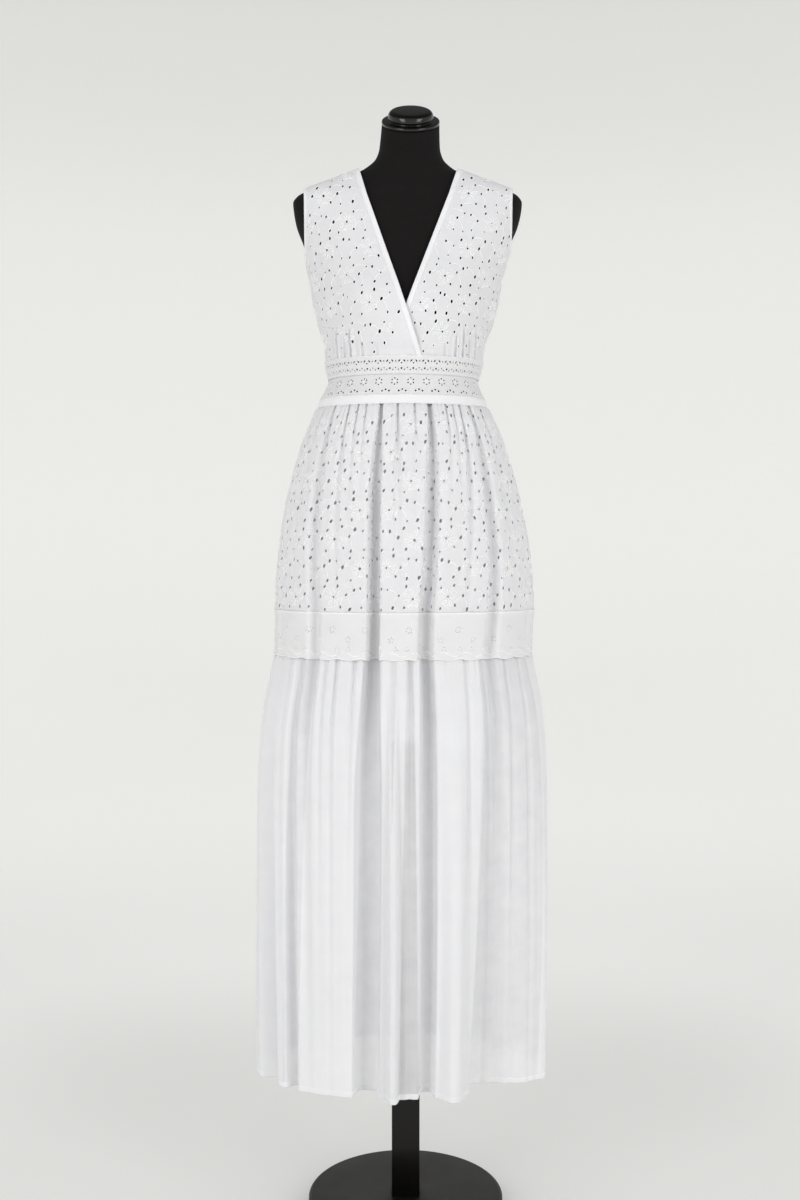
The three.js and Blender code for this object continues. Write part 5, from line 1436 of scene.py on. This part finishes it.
# A band of cloth through rows of laid points
def bandPiece(name, rows, material, thickness, isLoop=False):
    points = np.concatenate(rows)
    n = len(rows[0])
    faces = rowFaces(len(rows), n, isLoop)
    along = np.concatenate([[0], np.cumsum(np.linalg.norm(np.diff(rows[0], axis=0), axis=1))])
    flat = np.concatenate([np.stack([along, np.full(n, 3.0 * r)], -1) for r in range(len(rows))])
    piece = newPiece(name, points, faces, material, flat, np.full(len(points), 0.9))
    thicken(piece, thickness)
    return piece


# Flat points at a distance in from a flat edge line
def inFrom(line, distance, towards):
    along = np.gradient(line, axis=0)
    along /= np.maximum(np.linalg.norm(along, axis=1, keepdims=True), 1e-9)
    out = np.stack([-along[:, 1], along[:, 0]], -1)
    return line + out * distance * towards


# Lays a band's line at a share of its width. Its inner edge is pressed into the cloth.
def bandRow(cloth, line, width, share, towards):
    flat = inFrom(line, width * share, towards)
    lift = bodice["bandLift"] * (1 - 0.75 * smoothStep(share, 0.5, 1))
    return cloth.lay(flat, cloth.extra(flat) + lift)


def neckBandRows(cloth, line, towards):
    return [bandRow(cloth, line, bodice["neckBand"], share, towards) for share in np.linspace(0, 1, 5)]


# Keeps the eyelets and threads that are clear of the neck's band and of the plain cloth beside it,
# which is wider the further down from its top it is
def clearOfNeck(eyelets, threads, neck, plainTop=0, widening=0):
    edge = np.concatenate([neck, neck[::-1]])
    band = bodice["neckBand"]
    gaps = nearOutline(np.array([eyelet[:2] for eyelet in eyelets]), edge)
    clear = [eyelet for eyelet, gap in zip(eyelets, gaps)
             if gap > max(band + eyelet[3] + 1, widening * (plainTop - eyelet[1]))]
    lines = [line for line in threads
             if nearOutline(line, edge).min() > max(band, widening * (plainTop - line[:, 1].min()))]
    return clear, lines


def makeFront(name):
    low = seams["bodiceLow"] - bodice["tuckedBehind"]
    lines, outline = frontOutline(name)
    cloth = bodiceRelief(name, "front")
    eyelets, threads = spreadBroderie(outline, 7 if name == "right" else 8, bodice["eyeletMargin"],
                                      (20, 16), bodice["eyeletScale"])
    eyelets, threads = clearOfNeck(eyelets, threads, lines["neck"], *bodice[name]["plain"])
    fine = (low - 2, low + bodice["fineRun"], 1.5)
    flat, relief, faces = cutCloth(outline, eyelets, bodice["spacing"], band=fine)
    label = "bodiceFront" + name.capitalize()
    points = cloth.lay(flat, relief + cloth.extra(flat))
    piece = newPiece(label, points, faces, linedCotton, flat, overcast=relief > overcastFrom)
    thicken(piece, bodice["thickness"])
    place(piece, ["bodice_front_" + name], "eyelet_cotton")
    embroidery = raisedThreads(label + "Embroidery", cloth, threads, *broderie["thread"])
    place(embroidery, [], "eyelet_cotton")
    # the neck's turned band, from the neck point down to the low edge
    towards = bodice[name]["sign"]
    neckLine = resample(lines["neck"], 4)
    rows = neckBandRows(cloth, neckLine, towards)
    if towards < 0:
        rows = rows[::-1]
    bandName = "neckBandFront" + name.capitalize()
    band = bandPiece(bandName, rows, linedCotton, bodice["bandThickness"])
    place(band, ["neck_band_front_" + name], "plain_cotton")
    stitchLine = inFrom(neckLine, bodice["neckBand"] - 1.3, towards)
    seamStitches = stitches(stitchLine, bodice["stitchPitch"], 2.2)
    stitching = raisedThreads(label + "NeckStitching", cloth, seamStitches, 0.22, 0.3, 0.75)
    place(stitching, [], "plain_cotton")
    return lines, cloth


def backNeckZ(x):
    pointX, pointZ = bodice["neckPoint"]
    return bodice["backNeck"] + (pointZ - bodice["backNeck"]) * (x / pointX) ** 2


def makeBack():
    low = seams["bodiceLow"] - bodice["tuckedBehind"]
    pointX = bodice["neckPoint"][0]
    tipX, tipZ = bodice["shoulderTip"]
    outerZ = np.linspace(low, tipZ, 90)
    sides, tops = {}, {}
    for sign in (-1, 1):
        sides[sign] = flatAt("back", sign, outerEdgeX(sign, outerZ), outerZ)
        xs = np.linspace(tipX, pointX, 20)
        tops[sign] = flatAt("back", sign, xs, ridgeZ(xs))
    neckX = np.linspace(-pointX, pointX, 41)
    neck = flatAt("back", 1, neckX, backNeckZ(neckX))
    bottom = np.stack([sides[-1][0], sides[1][0]])
    lines = [bottom, sides[1], tops[1], neck[::-1], tops[-1][::-1], sides[-1][::-1]]
    outline = closedOutline(lines, bodice["edgeStep"])
    cloth = bodiceRelief("back", "back")
    eyelets, threads = spreadBroderie(outline, 9, bodice["eyeletMargin"], (5, 16), bodice["eyeletScale"])
    eyelets, threads = clearOfNeck(eyelets, threads, neck)
    flat, relief, faces = cutCloth(outline, eyelets, bodice["spacing"], band=(low - 2, low + 46, 2.0))
    points = cloth.lay(flat, relief + cloth.extra(flat))
    piece = newPiece("bodiceBack", points, faces[:, ::-1], linedCotton, flat, overcast=relief > overcastFrom)
    thicken(piece, bodice["thickness"])
    place(piece, ["bodice_back"], "eyelet_cotton")
    embroidery = raisedThreads("bodiceBackEmbroidery", cloth, threads, *broderie["thread"])
    place(embroidery, [], "eyelet_cotton")
    rows = neckBandRows(cloth, resample(neck, 4), -1)
    band = bandPiece("neckBandBack", rows, linedCotton, bodice["bandThickness"])
    place(band, ["neck_band_back"], "plain_cotton")
    return sides, cloth


# Armhole binding: down the front's edge, under the arm and up the back's, a closed loop
def makeArmholeBand(name, sign, frontLine, frontCloth, backLine, backCloth):
    underarm, width = bodice["underarm"], bodice["armholeBand"]
    front = resample(frontLine[frontLine[:, 1] > underarm][::-1], 4)
    back = resample(backLine[backLine[:, 1] > underarm], 4)
    rows = [np.concatenate([bandRow(frontCloth, front, width, share, -sign),
                            bandRow(backCloth, back, width, share, sign)])
            for share in np.linspace(0, 1, 4)]
    if sign > 0:
        rows = rows[::-1]
    bandName = "armholeBand" + name.capitalize()
    band = bandPiece(bandName, rows, linedCotton, bodice["bandThickness"], isLoop=True)
    place(band, ["armhole_band_" + name], "plain_cotton")


# Narrow scalloped lace over the shoulder seam
def makeShoulderStrip(name, sign):
    pointX, tipX = bodice["neckPoint"][0], bodice["shoulderTip"][0]
    share = np.linspace(0.04, 0.94, 61)
    reach = pointX + (tipX - pointX) * share
    x = bodice["middle"] + sign * reach
    z = ridgeZ(reach) + bodice["stripLift"]
    rows = []
    for i in range(7):
        across = i / 6 * 2 - 1
        scallop = 0.7 * np.abs(np.sin(share * math.pi * 24)) * abs(across)
        y = across * (bodice["shoulderStrip"] / 2 + scallop - 0.35)
        ridge = 0.35 * np.cos(across * math.pi * 1.5) ** 2 + 0.15 * np.sin(share * math.pi * 48)
        rows.append(np.stack([x, y + 0 * x, z + ridge], -1))
    if sign < 0:
        rows = rows[::-1]
    strip = bandPiece("shoulderStrip" + name.capitalize(), rows, plainCotton, 0.7)
    place(strip, ["shoulder_strip_" + name], "cotton_lace")


backSides, backCloth = makeBack()
for name in ("right", "left"):
    sign = bodice[name]["sign"]
    frontLines, frontCloth = makeFront(name)
    makeArmholeBand(name, sign, frontLines["outer"], frontCloth, backSides[sign], backCloth)
    makeShoulderStrip(name, sign)
print("bodice made")
